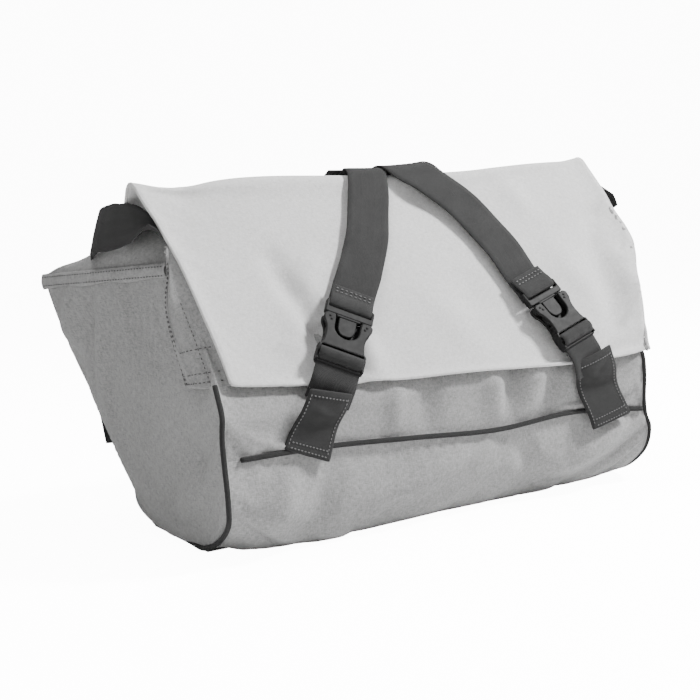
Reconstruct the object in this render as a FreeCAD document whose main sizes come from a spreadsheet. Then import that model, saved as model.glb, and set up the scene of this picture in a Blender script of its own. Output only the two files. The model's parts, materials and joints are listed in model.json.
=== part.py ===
"""Courier mail sack: canvas tub, over-the-top flap, webbing closures and side-release buckles.

Frame: +X runs along the sack to the right, +Y to the back, +Z up. The origin is on the floor
under the flat base. Lengths are in millimetres, angles in degrees.
"""
import FreeCAD, Part
import math
import os
import re
import Sketcher

SIZES = {
    # canvas tub
    "canvas": 2.5,             # a canvas panel with its binding
    "end_half": 210,           # half length at the front bottom edge
    "end_splay": 0.13,         # how fast the ends splay outwards towards the back
    "end_flare": 0.08,         # how fast the ends flare outwards towards the top
    "front_y": -115,
    "base_front": -62,         # where the flat base starts
    "base_back": 85,           # where the flat base ends
    "corner_radius": 50,       # round from the front face into the base
    "seam_z": 80,              # piped seam across the front
    "shoulder_z": 132,         # where the front starts to lean back
    "mouth_y": -34,            # front edge of the mouth
    "hem_z": 250,              # height of the mouth
    "hem_back_y": 150,         # back edge of the mouth
    "hem_width": 12,
    "hem_thick": 1.5,
    "piping_radius": 3,
    "piping_stand": 2.5,       # the end pipings clear the floor by this much
    "piping_start": 6,         # they start this far below the shoulder, under the flap
    "piping_end": 36,          # and end this far below the mouth
    "seam_gap": 0.05,          # between panels that are sewn together
    "overrun": 1,              # how far a cut or a joined piece runs past the face it meets
    "reach": 300,              # half length of the blanks that the ends trim
    # storm collars above the end hems
    "collar_slant": 44,
    "collar_length": 142,
    "collar_start": 4,
    "collar_lean": 37,         # from upright towards the middle of the sack
    "collar_stand": 2,         # above the mouth
    "anchor_inset": 2,         # shoulder webbing from the collar's front end
    "anchor_low": -6.5,        # its lower edge, up the collar's slant
    # flap
    "flap_cloth": 3.2,         # canvas with its lining
    "flap_edge_y": -122,
    "flap_edge_z": 135,
    "ridge_y": 2,
    "ridge_z": 322,
    "hinge_y": 152,
    "hinge_z": 253.5,
    "flap_edge_half": 229,
    "ridge_half": 248,
    "hinge_half": 198,
    "wing_cloth": 3,
    "wing_gap": 5,             # from an end panel to the wing that hangs beside it
    "wing_toe_y": -108.6,      # lower front corner, just behind the flap's edge
    "wing_toe_z": 148,
    "wing_heel_y": -36,        # lower back corner
    "wing_heel_z": 138,
    "wing_back_y": -18,        # top of the free edge
    "wing_back_z": 250,
    "wing_tip_y": -33,         # where the wing runs out against the flap
    "wing_tip_z": 262,
    # webbing
    "webbing": 40,             # closure webbing
    "shoulder_webbing": 50,
    "web_thick": 1.8,
    "lift": 0.4,               # webbing lies this far off the cloth below it
    "patch_width": 104,
    "patch_length": 30,
    "patch_start": 14,
    "strap_end": 42,           # how far the closure straps run down behind the ridge
    "ridge_overlap": 4,        # they cross the ridge by this much
    "sleeve_width": 46,
    "sleeve_length": 56,
    "sleeve_thick": 3.6,
    "sleeve_stand": 7.8,       # the sleeves lie over the seam piping
    "lower_webbing_top": 11,
    "lower_webbing_end": -10,
    # side-release buckles, measured along from the socket's webbing end
    "buckle_lift": 3,          # the buckle lies on its own webbing
    "socket_thick": 10,
    "socket_wall": 2.2,
    "ladder_half": 22,
    "ladder_length": 16,
    "waist_half": 18.6,
    "waist_low": 24,
    "waist_high": 36,
    "horn_half": 23,
    "horn_chamfer": 4,
    "socket_length": 51,
    "hollow_half": 17,
    "notch_half": 11.5,
    "notch_end": 31,
    "notch_chamfer": 5,
    "slot_half": 20.3,
    "near_slot_start": 3.5,    # the ladder's two webbing slots
    "near_slot_end": 7,
    "far_slot_start": 12.6,
    "far_slot_end": 15.6,
    "window_low": 27,
    "window_high": 41,
    "frame_start": 52,
    "frame_end": 67,
    "frame_half": 22.3,
    "frame_bottom": 2,
    "frame_thick": 6,
    "frame_rail": 4,           # between the tongue and the webbing slot
    "bar_start": 61.5,
    "bar_bottom": 3.4,         # the bar is thinner than the frame
    "bar_top": 6.4,
    "tongue_half": 8.4,
    "tongue_end": 32.5,
    "tongue_chamfer": 4,
    "core_bottom": 3,          # tongue and prongs lie between these two heights
    "core_thick": 4,
    "prong_root": 51.6,
    "prong_tip": 26,
    "prong_inner": 11.8,
    "prong_outer": 15.8,
    "prong_pad": 18,
    "prong_chamfer": 2,
    "pad_clear": 3,            # from the window's lower end to the pad
    "loop_under": 1,           # heights of the two layers of the strap's end
    "loop_over": 7,
    "loop_end": 82,
    # shoulder strap, hanging behind the sack
    "strap_y": 158,
    "strap_z": 246,
    "strap_half": 226,
    "strap_straight": 70,
    "strap_overlap": 8,
    "strap_depth": 205,
    "slider_drop": 12,
    "slider_length": 30,
    "slider_wall": 2,
    "slider_rim": 4,           # beside the webbing
    "slider_side": 0.6,        # clearance beside and below the webbing
    "slider_slack": 1.2,       # clearance through the webbing's thickness
    "tail_length": 150,
    "tail_shift": 2,
    "tail_lean": -6,
}

# socket's webbing end on the flap's front face: across, up the slope, and its lean
BUCKLES = {"left": (-115, 14, -30), "right": (139, 6, 19)}
# closure straps from the buckle up to the ridge: length and lean of each straight run
STRAP_RUNS = {"left": ((70, -34), (106, -23)), "right": ((86, 15), (49, 32), (51, 58))}
STRAP_START = 58                                # from the socket's webbing end
RIDGE_CROSSING = {"left": -6, "right": 38}
SLEEVE_TOPS = {"left": (-127, 128, -28), "right": (147, 121, 20)}
PATCH_CENTRE = 16
HEEL_BEND = 22                                  # bend of the end piping at the back of the base

doc = FreeCAD.newDocument("mail_sack")
sheet = doc.addObject("Spreadsheet::Sheet", "Sizes")
for row, (alias, number) in enumerate(SIZES.items(), start=1):
    sheet.set(f"A{row}", alias)
    sheet.set(f"B{row}", str(number))
    sheet.setAlias(f"B{row}", alias)
probe = doc.addObject("App::FeaturePython", "Probe")
doc.recompute()

nodes = []


def named(expression):
    """Put the sheet's name in front of each alias in an expression."""
    return re.sub(r"[a-z_]+", lambda word: f"Sizes.{word[0]}" if word[0] in SIZES else word[0],
                  str(expression))


def value(expression):
    """The number that an expression on the sheet gives."""
    return float(probe.evalExpression(named(expression)))


def bind(feature, **expressions):
    for name, expression in expressions.items():
        feature.setExpression(name, named(expression))


def vec(x, y, z):
    return FreeCAD.Vector(x, y, z)


def place(point, axis=(0, 0, 1), degrees=0):
    return FreeCAD.Placement(vec(*point), FreeCAD.Rotation(vec(*axis), degrees))


def keep(feature, label, placement=None):
    """Give a finished sub-part its name, and its place if it isn't built in place."""
    feature.Label = label
    if placement is not None:
        feature.Placement = placement
    nodes.append(feature)
    return feature


# ---------------------------------------------------------------- sketched bodies

def outline(body, role, corners, offset):
    """A closed sketch of straight lines; each corner is a pair of expressions."""
    sketch = body.newObject("Sketcher::SketchObject", "Outline")
    plane = next(f for f in body.Origin.OriginFeatures if f.Role == role)
    sketch.AttachmentSupport = [(plane, "")]
    sketch.MapMode = "FlatFace"
    sketch.setExpression("AttachmentOffset.Base.z", named(offset))
    points = [(value(x), value(y)) for x, y in corners]
    for start, end in zip(points, points[1:] + points[:1]):
        sketch.addGeometry(Part.LineSegment(vec(*start, 0), vec(*end, 0)), False)
    for i in range(len(points)):
        sketch.addConstraint(Sketcher.Constraint("Coincident", i, 2, (i + 1) % len(points), 1))
    for i, (corner, point) in enumerate(zip(corners, points)):
        for kind, expression, number in zip(("DistanceX", "DistanceY"), corner, point):
            index = sketch.addConstraint(Sketcher.Constraint(kind, -1, 1, i, 1, number))
            sketch.setExpression(f"Constraints[{index}]", named(expression))
    return sketch


def padded(name, role, corners, depth, offset=0, midplane=False, body=None):
    """A body with a pad of the outline; given a body, one more pad on it."""
    body = body or doc.addObject("PartDesign::Body", name)
    pad = body.newObject("PartDesign::Pad", "Pad")
    pad.Profile = outline(body, role, corners, offset)
    pad.Midplane = midplane
    bind(pad, Length=depth)
    return body


def pocketed(body, role, corners, depth, offset=0):
    """Take the outline out of the body, upwards from offset."""
    doc.recompute()
    before = body.Shape.Volume
    pocket = body.newObject("PartDesign::Pocket", "Pocket")
    pocket.Profile = outline(body, role, corners, offset)
    pocket.Reversed = True
    bind(pocket, Length=depth)
    doc.recompute()
    if body.Shape.Volume > before - 1:
        raise RuntimeError(f"a pocket in {body.Name} takes nothing away")


def rounded(body, y, z, radius):
    """Fillet the edge that runs along X through a point."""
    doc.recompute()
    base = body.Tip
    for number, edge in enumerate(base.Shape.Edges, start=1):
        middle = edge.CenterOfMass
        if math.hypot(middle.y - value(y), middle.z - value(z)) < 0.01:
            break
    fillet = body.newObject("PartDesign::Fillet", "Round")
    fillet.Base = (base, [f"Edge{number}"])
    bind(fillet, Radius=radius)


def rectangle(x0, y0, x1, y1):
    return [(x0, y0), (x1, y0), (x1, y1), (x0, y1)]


def mirrored_outline(half):
    """A closed outline from its right half, listed from the bottom up."""
    return half + [(f"-({x})", y) for x, y in reversed(half)]


# ---------------------------------------------------------------- strips, booleans, mirrors

def box(name, length, width, height, placement):
    solid = doc.addObject("Part::Box", name)
    bind(solid, Length=length, Width=width, Height=height)
    solid.Placement = placement
    return solid


def strip(name, length, width, placement, thick="web_thick"):
    """A flat strip, centred across, that runs along its placement's Y."""
    return box(name, width, length, thick, placement.multiply(place((-value(width) / 2, 0, 0))))


def boolean(kind, name, base, tool):
    result = doc.addObject(f"Part::{kind}", name)
    result.Base = base
    result.Tool = tool
    return result


def fused(name, parts):
    joined = doc.addObject("Part::MultiFuse", name)
    joined.Shapes = parts
    return joined


def keep_both(feature, name):
    """Keep a left-hand piece and its mirror image on the right."""
    keep(feature, f"left_{name}")
    mirror = doc.addObject("Part::Mirroring", f"right_{name}")
    mirror.Source = feature
    mirror.Normal = vec(1, 0, 0)
    keep(mirror, f"right_{name}")


def tube(name, path, radius):
    """A round cord along a wire."""
    start = path.OrderedEdges[0]
    heading = start.tangentAt(start.FirstParameter)
    ring = Part.Wire(Part.Circle(start.valueAt(start.FirstParameter), heading, radius).toShape())
    feature = doc.addObject("Part::Feature", name)
    feature.Shape = path.makePipeShell([ring], True, False, 2)
    return feature


# ---------------------------------------------------------------- places

def end_frame():
    """The outer face of the left end: local X towards the front, Y up, Z outwards."""
    splay, flare = value("end_splay"), value("end_flare")
    outwards = vec(-1, -splay, -flare).normalize()
    forward = vec(splay, -1, 0).normalize()
    turn = FreeCAD.Rotation(forward, outwards.cross(forward), outwards, "ZXY")
    return FreeCAD.Placement(vec(-value("end_half"), value("front_y"), 0), turn)


def end_slab(name, start, thick):
    """A large plate parallel to the left end, from start outwards."""
    corner = place((-value("1.5*reach"), -value("reach"), value(start)))
    return box(name, "3*reach", "3*reach", thick, end_frame().multiply(corner))


FRONT_SLOPE = math.degrees(math.atan2(
    value("ridge_z - flap_edge_z"), value("ridge_y - flap_edge_y")))
BACK_SLOPE = -math.degrees(math.atan2(
    value("ridge_z - hinge_z"), value("hinge_y - ridge_y")))


def flap_front():
    """The flap's outer front face: local Y up the slope, Z outwards."""
    return place((0, value("flap_edge_y"), value("flap_edge_z")), (1, 0, 0), FRONT_SLOPE)


def flap_back():
    """The flap's outer back face: local Y down from the ridge, Z outwards."""
    return place((0, value("ridge_y"), value("ridge_z")), (1, 0, 0), BACK_SLOPE)


def buckle_frame(side):
    across, up, lean = BUCKLES[side]
    return flap_front().multiply(place((across, up, value("buckle_lift")), (0, 0, 1), lean))


# ---------------------------------------------------------------- the tub

def long_panel(label, corners, rounds=()):
    """A panel that runs the length of the sack, trimmed by the two splayed ends."""
    body = padded(f"{label}_blank", "YZ_Plane", corners, "2*reach", midplane=True)
    for y, z, radius in rounds:
        rounded(body, y, z, radius)
    keep(boolean("Cut", label, body, beyond_ends), label)


outside = end_slab("left_outside", "-canvas - seam_gap", "reach")
outside_right = doc.addObject("Part::Mirroring", "right_outside")
outside_right.Source = outside
outside_right.Normal = vec(1, 0, 0)
beyond_ends = fused("beyond_ends", [outside, outside_right])

long_panel("bottom_panel", rectangle(
    "base_front + seam_gap", 0, "base_back - canvas - seam_gap", "canvas"))
long_panel("front_lower_panel", [
    ("front_y", "seam_z"), ("front_y", 0), ("base_front", 0), ("base_front", "canvas"),
    ("front_y + canvas", "canvas"), ("front_y + canvas", "seam_z"),
], rounds=[("front_y", 0, "corner_radius"),
           ("front_y + canvas", "canvas", "corner_radius - canvas")])
long_panel("front_upper_panel", [
    ("front_y", "seam_z + seam_gap"), ("front_y", "shoulder_z"), ("mouth_y", "hem_z"),
    ("mouth_y + canvas", "hem_z"), ("front_y + canvas", "shoulder_z"),
    ("front_y + canvas", "seam_z + seam_gap"),
])
long_panel("rear_panel", [
    ("base_back", 0), ("hem_back_y", "hem_z"), ("hem_back_y - canvas", "hem_z"),
    ("base_back - canvas", 0),
])

end_blank = padded("end_blank", "YZ_Plane", [
    ("front_y", 0), ("base_back", 0), ("hem_back_y", "hem_z"), ("mouth_y", "hem_z"),
    ("front_y", "shoulder_z"),
], "2*reach", midplane=True)
rounded(end_blank, "front_y", 0, "corner_radius")
keep_both(boolean("Common", "left_end_panel", end_blank, end_slab("end_plate", "-canvas", "canvas")),
          "end_panel")

hem_blank = padded("hem_blank", "YZ_Plane", rectangle(
    "mouth_y + hem_width", "hem_z - hem_width", "hem_back_y - hem_width", "hem_z",
), "2*reach", midplane=True)
keep_both(boolean("Common", "left_end_hem", hem_blank, end_slab("hem_plate", "seam_gap", "hem_thick")),
          "end_hem")


def end_piping_path():
    """Round the outer rim of the left end, from under the flap to below the rear hem."""
    radius = value("piping_radius")
    low = radius + value("piping_stand")
    bend = value("corner_radius") - radius
    lean = math.atan2(value("hem_back_y - base_back"), value("hem_z"))
    heel = vec(value("front_y - base_back") + radius, low, 0)
    upward = vec(-math.sin(lean), math.cos(lean), 0)
    tangent = HEEL_BEND * math.tan((math.pi / 2 - lean) / 2)
    heel_in = heel + vec(tangent, 0, 0)
    heel_out = heel + upward * tangent
    centre = heel_in + vec(0, HEEL_BEND, 0)
    heel_middle = centre + (heel - centre).normalize() * HEEL_BEND
    top = heel + upward * value("hem_z - piping_end")
    round_start = vec(-radius, low + bend, 0)
    round_end = vec(-radius - bend, low, 0)
    diagonal = bend * (1 - math.sqrt(0.5))
    edges = [
        Part.LineSegment(vec(-radius, value("shoulder_z - piping_start"), 0), round_start),
        Part.Arc(round_start, vec(-radius - diagonal, low + diagonal, 0), round_end),
        Part.LineSegment(round_end, heel_in),
        Part.Arc(heel_in, heel_middle, heel_out),
        Part.LineSegment(heel_out, top),
    ]
    return Part.Wire([edge.toShape() for edge in edges])


left_piping = tube("left_end_piping", end_piping_path(), value("piping_radius"))
left_piping.Placement = end_frame().multiply(
    place((0, 0, value("piping_radius + seam_gap"))))
keep_both(left_piping, "end_piping")

seam_piping = doc.addObject("Part::Cylinder", "front_seam_piping")
bind(seam_piping, Radius="piping_radius", Height="2*end_half - 2*piping_radius")
keep(seam_piping, "front_seam_piping", place(
    (-value("end_half - piping_radius"), value("front_y - piping_radius - seam_gap"),
     value("seam_z")), (0, 1, 0), 90))


# ---------------------------------------------------------------- storm collars

def collar_frame():
    """Left collar: local X towards the back along the hem, Y up the lean, Z inwards."""
    splay, start = value("end_splay"), value("collar_start")
    hem = -value("end_half + end_splay*(collar_start - front_y) + end_flare*hem_z")
    back = vec(-splay, 1, 0).normalize()
    inwards = vec(1, splay, 0).normalize()
    lean = math.radians(value("collar_lean"))
    up = inwards * math.sin(lean) + vec(0, 0, math.cos(lean))
    turn = FreeCAD.Rotation(back, up, back.cross(up), "XYZ")
    return FreeCAD.Placement(vec(hem, start, value("hem_z + collar_stand")), turn)


keep_both(box("left_storm_collar", "collar_length", "collar_slant", "canvas", collar_frame()),
          "storm_collar")
anchor_place = place((value("anchor_inset"), value("anchor_low"), -value("web_thick + lift")))
keep_both(box("left_strap_anchor", "collar_length", "shoulder_webbing", "web_thick",
              collar_frame().multiply(anchor_place)), "strap_anchor")

# ---------------------------------------------------------------- flap

def under(y, z, heading, stretch=1.0):
    """The flap's inner face below a point of its outer face, square to a heading."""
    back = stretch * math.sin(math.radians(heading))
    down = stretch * math.cos(math.radians(heading))
    return f"{y} + {back:.6f}*flap_cloth", f"{z} - {down:.6f}*flap_cloth"


half_turn = (FRONT_SLOPE - BACK_SLOPE) / 2
flap_strip = padded("flap_strip", "YZ_Plane", [
    ("flap_edge_y", "flap_edge_z"), ("ridge_y", "ridge_z"), ("hinge_y", "hinge_z"),
    under("hinge_y", "hinge_z", BACK_SLOPE),
    under("ridge_y", "ridge_z", (FRONT_SLOPE + BACK_SLOPE) / 2,
          1 / math.cos(math.radians(half_turn))),
    under("flap_edge_y", "flap_edge_z", FRONT_SLOPE),
], "2*reach", midplane=True)
flap_planform = padded("flap_planform", "XY_Plane", [
    ("flap_edge_half", "flap_edge_y"), ("ridge_half", "ridge_y"), ("hinge_half", "hinge_y"),
    ("-hinge_half", "hinge_y"), ("-ridge_half", "ridge_y"), ("-flap_edge_half", "flap_edge_y"),
], "2*reach")
keep(boolean("Common", "flap_panel", flap_strip, flap_planform), "flap_panel")

wing_blank = padded("wing_blank", "YZ_Plane", [
    ("wing_toe_y", "wing_toe_z"), ("wing_heel_y", "wing_heel_z"),
    ("wing_back_y", "wing_back_z"), ("wing_tip_y", "wing_tip_z"),
], "2*reach", midplane=True)
keep_both(boolean("Common", "left_flap_wing", wing_blank,
                  end_slab("wing_plate", "wing_gap", "wing_cloth")), "flap_wing")


def closure_strap(side):
    """Webbing from the buckle up the flap's front, over the ridge to its sewn end."""
    across, up, lean = BUCKLES[side]
    spot = place((across, up, value("lift")), (0, 0, 1), lean).multiply(place((0, STRAP_START, 0)))
    parts = []
    for number, (length, run_lean) in enumerate(STRAP_RUNS[side]):
        spot = FreeCAD.Placement(spot.Base, FreeCAD.Rotation(vec(0, 0, 1), run_lean))
        parts.append(strip(f"{side}_strap_run_{number}", length, "webbing",
                           flap_front().multiply(spot)))
        spot = spot.multiply(place((0, length, 0)))
    crossing = place((RIDGE_CROSSING[side], -value("ridge_overlap"), value("lift")))
    parts.append(strip(f"{side}_strap_behind", "strap_end", "webbing",
                       flap_back().multiply(crossing)))
    keep(fused(f"{side}_closure_strap", parts), f"{side}_closure_strap")


for side in BUCKLES:
    closure_strap(side)
patch_place = place((PATCH_CENTRE, value("patch_start"), value("2*lift + web_thick")))
keep(strip("closure_strap_patch", "patch_length", "patch_width",
           flap_back().multiply(patch_place)), "closure_strap_patch")


# ---------------------------------------------------------------- buckles

def buckle_socket(side):
    """Socket half: a flat shell with a mouth, side windows, a notch and a webbing ladder."""
    body = padded(f"{side}_socket", "XY_Plane", mirrored_outline([
        ("ladder_half", 0), ("ladder_half", "ladder_length"), ("waist_half", "waist_low"),
        ("waist_half", "waist_high"), ("horn_half", "socket_length - horn_chamfer"),
        ("horn_half - horn_chamfer/2", "socket_length"),
    ]), "socket_thick")
    hollow = "socket_thick - 2*socket_wall"
    pocketed(body, "XY_Plane", rectangle(
        "-hollow_half", "waist_low", "hollow_half", "socket_length + overrun"),
        hollow, "socket_wall")
    pocketed(body, "XY_Plane", mirrored_outline([
        ("notch_half - notch_chamfer", "notch_end"), ("notch_half", "notch_end + notch_chamfer"),
        ("notch_half", "socket_length + overrun")]), "socket_wall", "socket_thick - socket_wall")
    for sign in ("", "-"):
        pocketed(body, "XY_Plane", rectangle(
            f"{sign}(hollow_half - overrun)", "window_low",
            f"{sign}(horn_half + overrun)", "window_high",
        ), hollow, "socket_wall")
    for slot in ("near_slot", "far_slot"):
        pocketed(body, "XY_Plane", rectangle(
            "-slot_half", f"{slot}_start", "slot_half", f"{slot}_end"),
            "socket_thick + 2*overrun", "-overrun")
    keep(body, f"{side}_buckle_socket", buckle_frame(side))


def buckle_plug(side):
    """Plug half: webbing frame, bar and the rounded tongue that guides it home."""
    body = padded(f"{side}_plug", "XY_Plane", rectangle(
        "-frame_half", "frame_start", "frame_half", "frame_end"), "frame_thick", "frame_bottom")
    padded(None, "XY_Plane", mirrored_outline([
        ("tongue_half - tongue_chamfer", "tongue_end"),
        ("tongue_half", "tongue_end + tongue_chamfer"),
        ("tongue_half", "frame_start + overrun")]), "core_thick", "core_bottom", body=body)
    pocketed(body, "XY_Plane", rectangle(
        "-slot_half", "frame_start + frame_rail", "slot_half", "bar_start"),
        "frame_thick + 2*overrun", "frame_bottom - overrun")
    for low, depth in (("frame_bottom - overrun", "bar_bottom - frame_bottom + overrun"),
                       ("bar_top", "frame_bottom + frame_thick - bar_top + overrun")):
        pocketed(body, "XY_Plane", rectangle(
            "-slot_half", "bar_start - seam_gap", "slot_half", "frame_end + overrun"), depth, low)
    keep(body, f"{side}_buckle_plug", buckle_frame(side))


def buckle_prong(side, hand, sign):
    """A springy latch arm with the pad that shows in the socket's window."""
    points = [("prong_inner", "prong_root"), ("prong_outer", "prong_root"),
              ("prong_outer", "window_high"), ("prong_pad", "window_high - prong_chamfer"),
              ("prong_pad", "window_low + pad_clear"), ("prong_inner + prong_chamfer", "prong_tip"),
              ("prong_inner", "prong_tip + prong_chamfer")]
    body = padded(f"{side}_{hand}_prong", "XY_Plane",
                  [(f"{sign}*({x})", y) for x, y in points], "core_thick", "core_bottom")
    keep(body, f"{side}_buckle_{hand}_prong", buckle_frame(side))


def strap_loop(side):
    """The closure strap's end, folded round the plug's bar and stitched back on itself."""
    start = value("bar_start - lift - web_thick")
    length = "loop_end - bar_start + lift + web_thick"
    layers = {name: buckle_frame(side).multiply(place((0, start, value(name))))
              for name in ("loop_under", "loop_over")}
    parts = [strip(f"{side}_{name}", length, "webbing", spot) for name, spot in layers.items()]
    parts.append(strip(f"{side}_loop_fold", "web_thick", "webbing", layers["loop_under"],
                       "loop_over - loop_under + web_thick"))
    keep(fused(f"{side}_strap_loop", parts), f"{side}_strap_loop")


for side in BUCKLES:
    buckle_socket(side)
    buckle_plug(side)
    for hand, sign in (("left", -1), ("right", 1)):
        buckle_prong(side, hand, sign)
    strap_loop(side)
    webbing_place = place((0, value("lower_webbing_end"), value("2*lift - buckle_lift")))
    keep(strip(f"{side}_lower_webbing", "lower_webbing_top - lower_webbing_end", "webbing",
               buckle_frame(side).multiply(webbing_place)), f"{side}_lower_webbing")
    across, top, lean = SLEEVE_TOPS[side]
    sleeve_place = place((across, value("front_y"), top), (1, 0, 0), 90).multiply(
        place((0, 0, value("sleeve_stand")), (0, 0, 1), lean)).multiply(
        place((0, -value("sleeve_length"), 0)))
    keep(strip(f"{side}_anchor_sleeve", "sleeve_length", "sleeve_width", sleeve_place,
               "sleeve_thick"), f"{side}_anchor_sleeve")


# ---------------------------------------------------------------- shoulder strap

def hanging(x, drop, stand=0, lean=0):
    """Behind the sack: local Y down from the strap's ends, Z towards the back."""
    upper = place((x, value("strap_y") + stand, value("strap_z") - drop), (1, 0, 0), -90)
    return upper.multiply(place((0, 0, 0), (0, 0, 1), lean))


def shoulder_strap():
    """The strap hangs straight at both ends, then both runs meet folded in the middle."""
    slant = value("strap_depth - strap_straight")
    length = math.hypot(value("strap_half"), slant)
    lean = math.degrees(math.atan2(value("strap_half"), slant))
    parts = []
    for sign in (-1, 1):
        end = sign * value("strap_half")
        parts.append(strip(f"strap_straight_{sign}", "strap_straight + strap_overlap",
                           "shoulder_webbing", hanging(end, 0)))
        parts.append(strip(f"strap_slant_{sign}", length, "shoulder_webbing",
                           hanging(end, value("strap_straight"), lean=sign * lean)))
    keep(fused("shoulder_strap", parts), "shoulder_strap")


shoulder_strap()

slider = padded("slider", "XY_Plane", rectangle(
    "-shoulder_webbing/2 - slider_rim", 0, "shoulder_webbing/2 + slider_rim", "slider_length",
), "web_thick + 2*slider_wall + slider_slack")
pocketed(slider, "XY_Plane", rectangle(
    "-shoulder_webbing/2 - slider_side", "-overrun",
    "shoulder_webbing/2 + slider_side", "slider_length + overrun",
), "web_thick + slider_slack", "slider_wall")
keep(slider, "shoulder_strap_slider", hanging(
    -value("strap_half"), value("slider_drop"), -value("slider_wall + slider_side")))
keep(strip("shoulder_strap_tail", "tail_length", "shoulder_webbing", hanging(
    value("tail_shift - strap_half"), value("slider_drop + slider_length/2"),
    value("web_thick + slider_wall + slider_slack"), value("tail_lean"))),
    "shoulder_strap_tail")

# ---------------------------------------------------------------- check and write

doc.recompute()
for feature in doc.Objects:
    if {"Invalid", "Error"} & set(feature.State):
        raise RuntimeError(f"{feature.Label} failed: {feature.State}")
os.makedirs("parts", exist_ok=True)
for feature in nodes:
    shape = feature.Shape
    if shape.isNull() or not shape.isValid() or not shape.Solids:
        raise RuntimeError(f"{feature.Label} has no valid solid")
    shape.exportStep(f"parts/{feature.Label}.step")
    print(f"{feature.Label:28s} {shape.Volume / 1000:9.2f} cm3  {len(shape.Solids)} solid")
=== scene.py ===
"""Looks of the courier mail sack: grey canvas tub, a flap of the same canvas made paler by painted
light from above, webbing closures and buckles.

Lengths are in metres. +X runs to the sack's right, +Y to its back, +Z up, as in the frame.
"""
import json
import math
import bpy
import numpy as np
from mathutils import Matrix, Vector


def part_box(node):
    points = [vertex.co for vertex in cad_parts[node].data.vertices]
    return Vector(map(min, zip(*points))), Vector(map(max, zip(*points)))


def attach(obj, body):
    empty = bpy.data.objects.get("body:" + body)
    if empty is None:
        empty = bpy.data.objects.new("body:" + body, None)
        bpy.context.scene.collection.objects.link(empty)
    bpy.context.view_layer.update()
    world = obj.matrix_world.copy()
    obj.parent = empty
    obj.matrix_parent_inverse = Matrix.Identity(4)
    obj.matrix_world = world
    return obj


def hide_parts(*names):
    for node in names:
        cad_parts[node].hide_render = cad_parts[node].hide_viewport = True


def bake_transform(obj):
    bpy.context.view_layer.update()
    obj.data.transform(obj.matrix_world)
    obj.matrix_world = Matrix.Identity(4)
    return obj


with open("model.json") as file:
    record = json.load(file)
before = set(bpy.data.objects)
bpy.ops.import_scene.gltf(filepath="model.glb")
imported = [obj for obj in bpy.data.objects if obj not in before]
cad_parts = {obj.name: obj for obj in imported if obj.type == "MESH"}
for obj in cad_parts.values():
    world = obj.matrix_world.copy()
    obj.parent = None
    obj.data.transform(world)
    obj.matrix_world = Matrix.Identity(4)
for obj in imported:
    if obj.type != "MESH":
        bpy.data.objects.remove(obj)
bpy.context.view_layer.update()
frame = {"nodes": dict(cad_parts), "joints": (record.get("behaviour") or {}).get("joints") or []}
SIDES = ("left", "right")
SIGN = {"left": -1, "right": 1}
MM = 0.001


# ---------------------------------------------------------------- places from the frame

def corner(node, direction):
    """The vertex of a CAD node that lies farthest along a direction."""
    points = np.array([vertex.co for vertex in frame["nodes"][node].data.vertices], float)
    return points[np.argmax(points @ np.array(direction, float))]


def joint(name):
    return next(j for j in frame["joints"] if j["name"] == name)


def unit(vector):
    vector = np.asarray(vector, float)
    return vector / np.maximum(np.linalg.norm(vector, axis=-1, keepdims=True), 1e-12)


flap_edge = corner("flap_panel", (0, -1, 0))
ridge = corner("flap_panel", (0, 0, 1))
hinge = corner("flap_panel", (0, 1, 0))
front_y = corner("front_upper_panel", (0, -1, 0))[1]
hem_z = corner("left_end_panel", (0, 0, 1))[2]
mouth_y = corner("front_upper_panel", (0, 1, 0))[1]
base_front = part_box("bottom_panel")[0].y

# the flat outer face of an end: half length as a function of y and z
end_corners = np.array([corner("left_end_panel", d) for d in (
    (-0.1, -1, 0.3), (-0.1, 1, 1), (-0.1, 1, -2))])
end_plane = np.linalg.solve(np.column_stack([end_corners[:, 1:], np.ones(3)]), -end_corners[:, 0])


def end_x(y, z):
    return end_plane[0] * y + end_plane[1] * z + end_plane[2]


def placed(across_x, along_y, outwards, origin):
    """The matrix of a frame from its three axes and its origin."""
    axes = np.column_stack([across_x, along_y, outwards])
    return Matrix([[*row, place] for row, place in zip(axes, origin)] + [[0, 0, 0, 1]])


# the buckle frame's origin, from the webbing's pivot: along the buckle and below its face
BUCKLE_AHEAD, BUCKLE_BELOW = 0.010, 0.007


def buckle_matrix(side):
    """Buckle frame: X across, Y from the socket's webbing end to the plug, Z outwards."""
    drop = joint(f"{side}_socket_drop")
    along_y = unit(joint(f"{side}_buckle_release")["axis"])
    across_x = unit(drop["axis"])
    outwards = np.cross(across_x, along_y)
    origin = np.array(drop["pos_m"]) + BUCKLE_AHEAD * along_y - BUCKLE_BELOW * outwards
    return placed(across_x, along_y, outwards, origin)


# ---------------------------------------------------------------- curves and shells

def mix(a, b, c, d, share):
    """Catmull-Rom blend from b to c."""
    return b + share / 2 * ((c - a) + share * (
        (2 * a - 5 * b + 4 * c - d) + share * (3 * (b - c) + d - a)))


def across(stack, t):
    """Blend smoothly between the layers of a stack, at shares t from 0 to 1."""
    t = np.clip(t, 0, 1) * (len(stack) - 1)
    first = np.minimum(t.astype(int), len(stack) - 2)
    ends = np.concatenate([2 * stack[:1] - stack[1:2], stack, 2 * stack[-1:] - stack[-2:-1]])
    layers = [np.take_along_axis(ends, (first + k)[None, ..., None], axis=0)[0] for k in range(4)]
    return mix(*layers, (t - first)[..., None])


def along(points, t):
    """A smooth curve through a few points, at shares t of their number."""
    points = np.asarray(points, float)
    t = np.asarray(t, float)
    stack = np.broadcast_to(points.reshape(len(points), *([1] * t.ndim), -1),
                            (len(points), *t.shape, points.shape[-1]))
    return across(stack, t)


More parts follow.
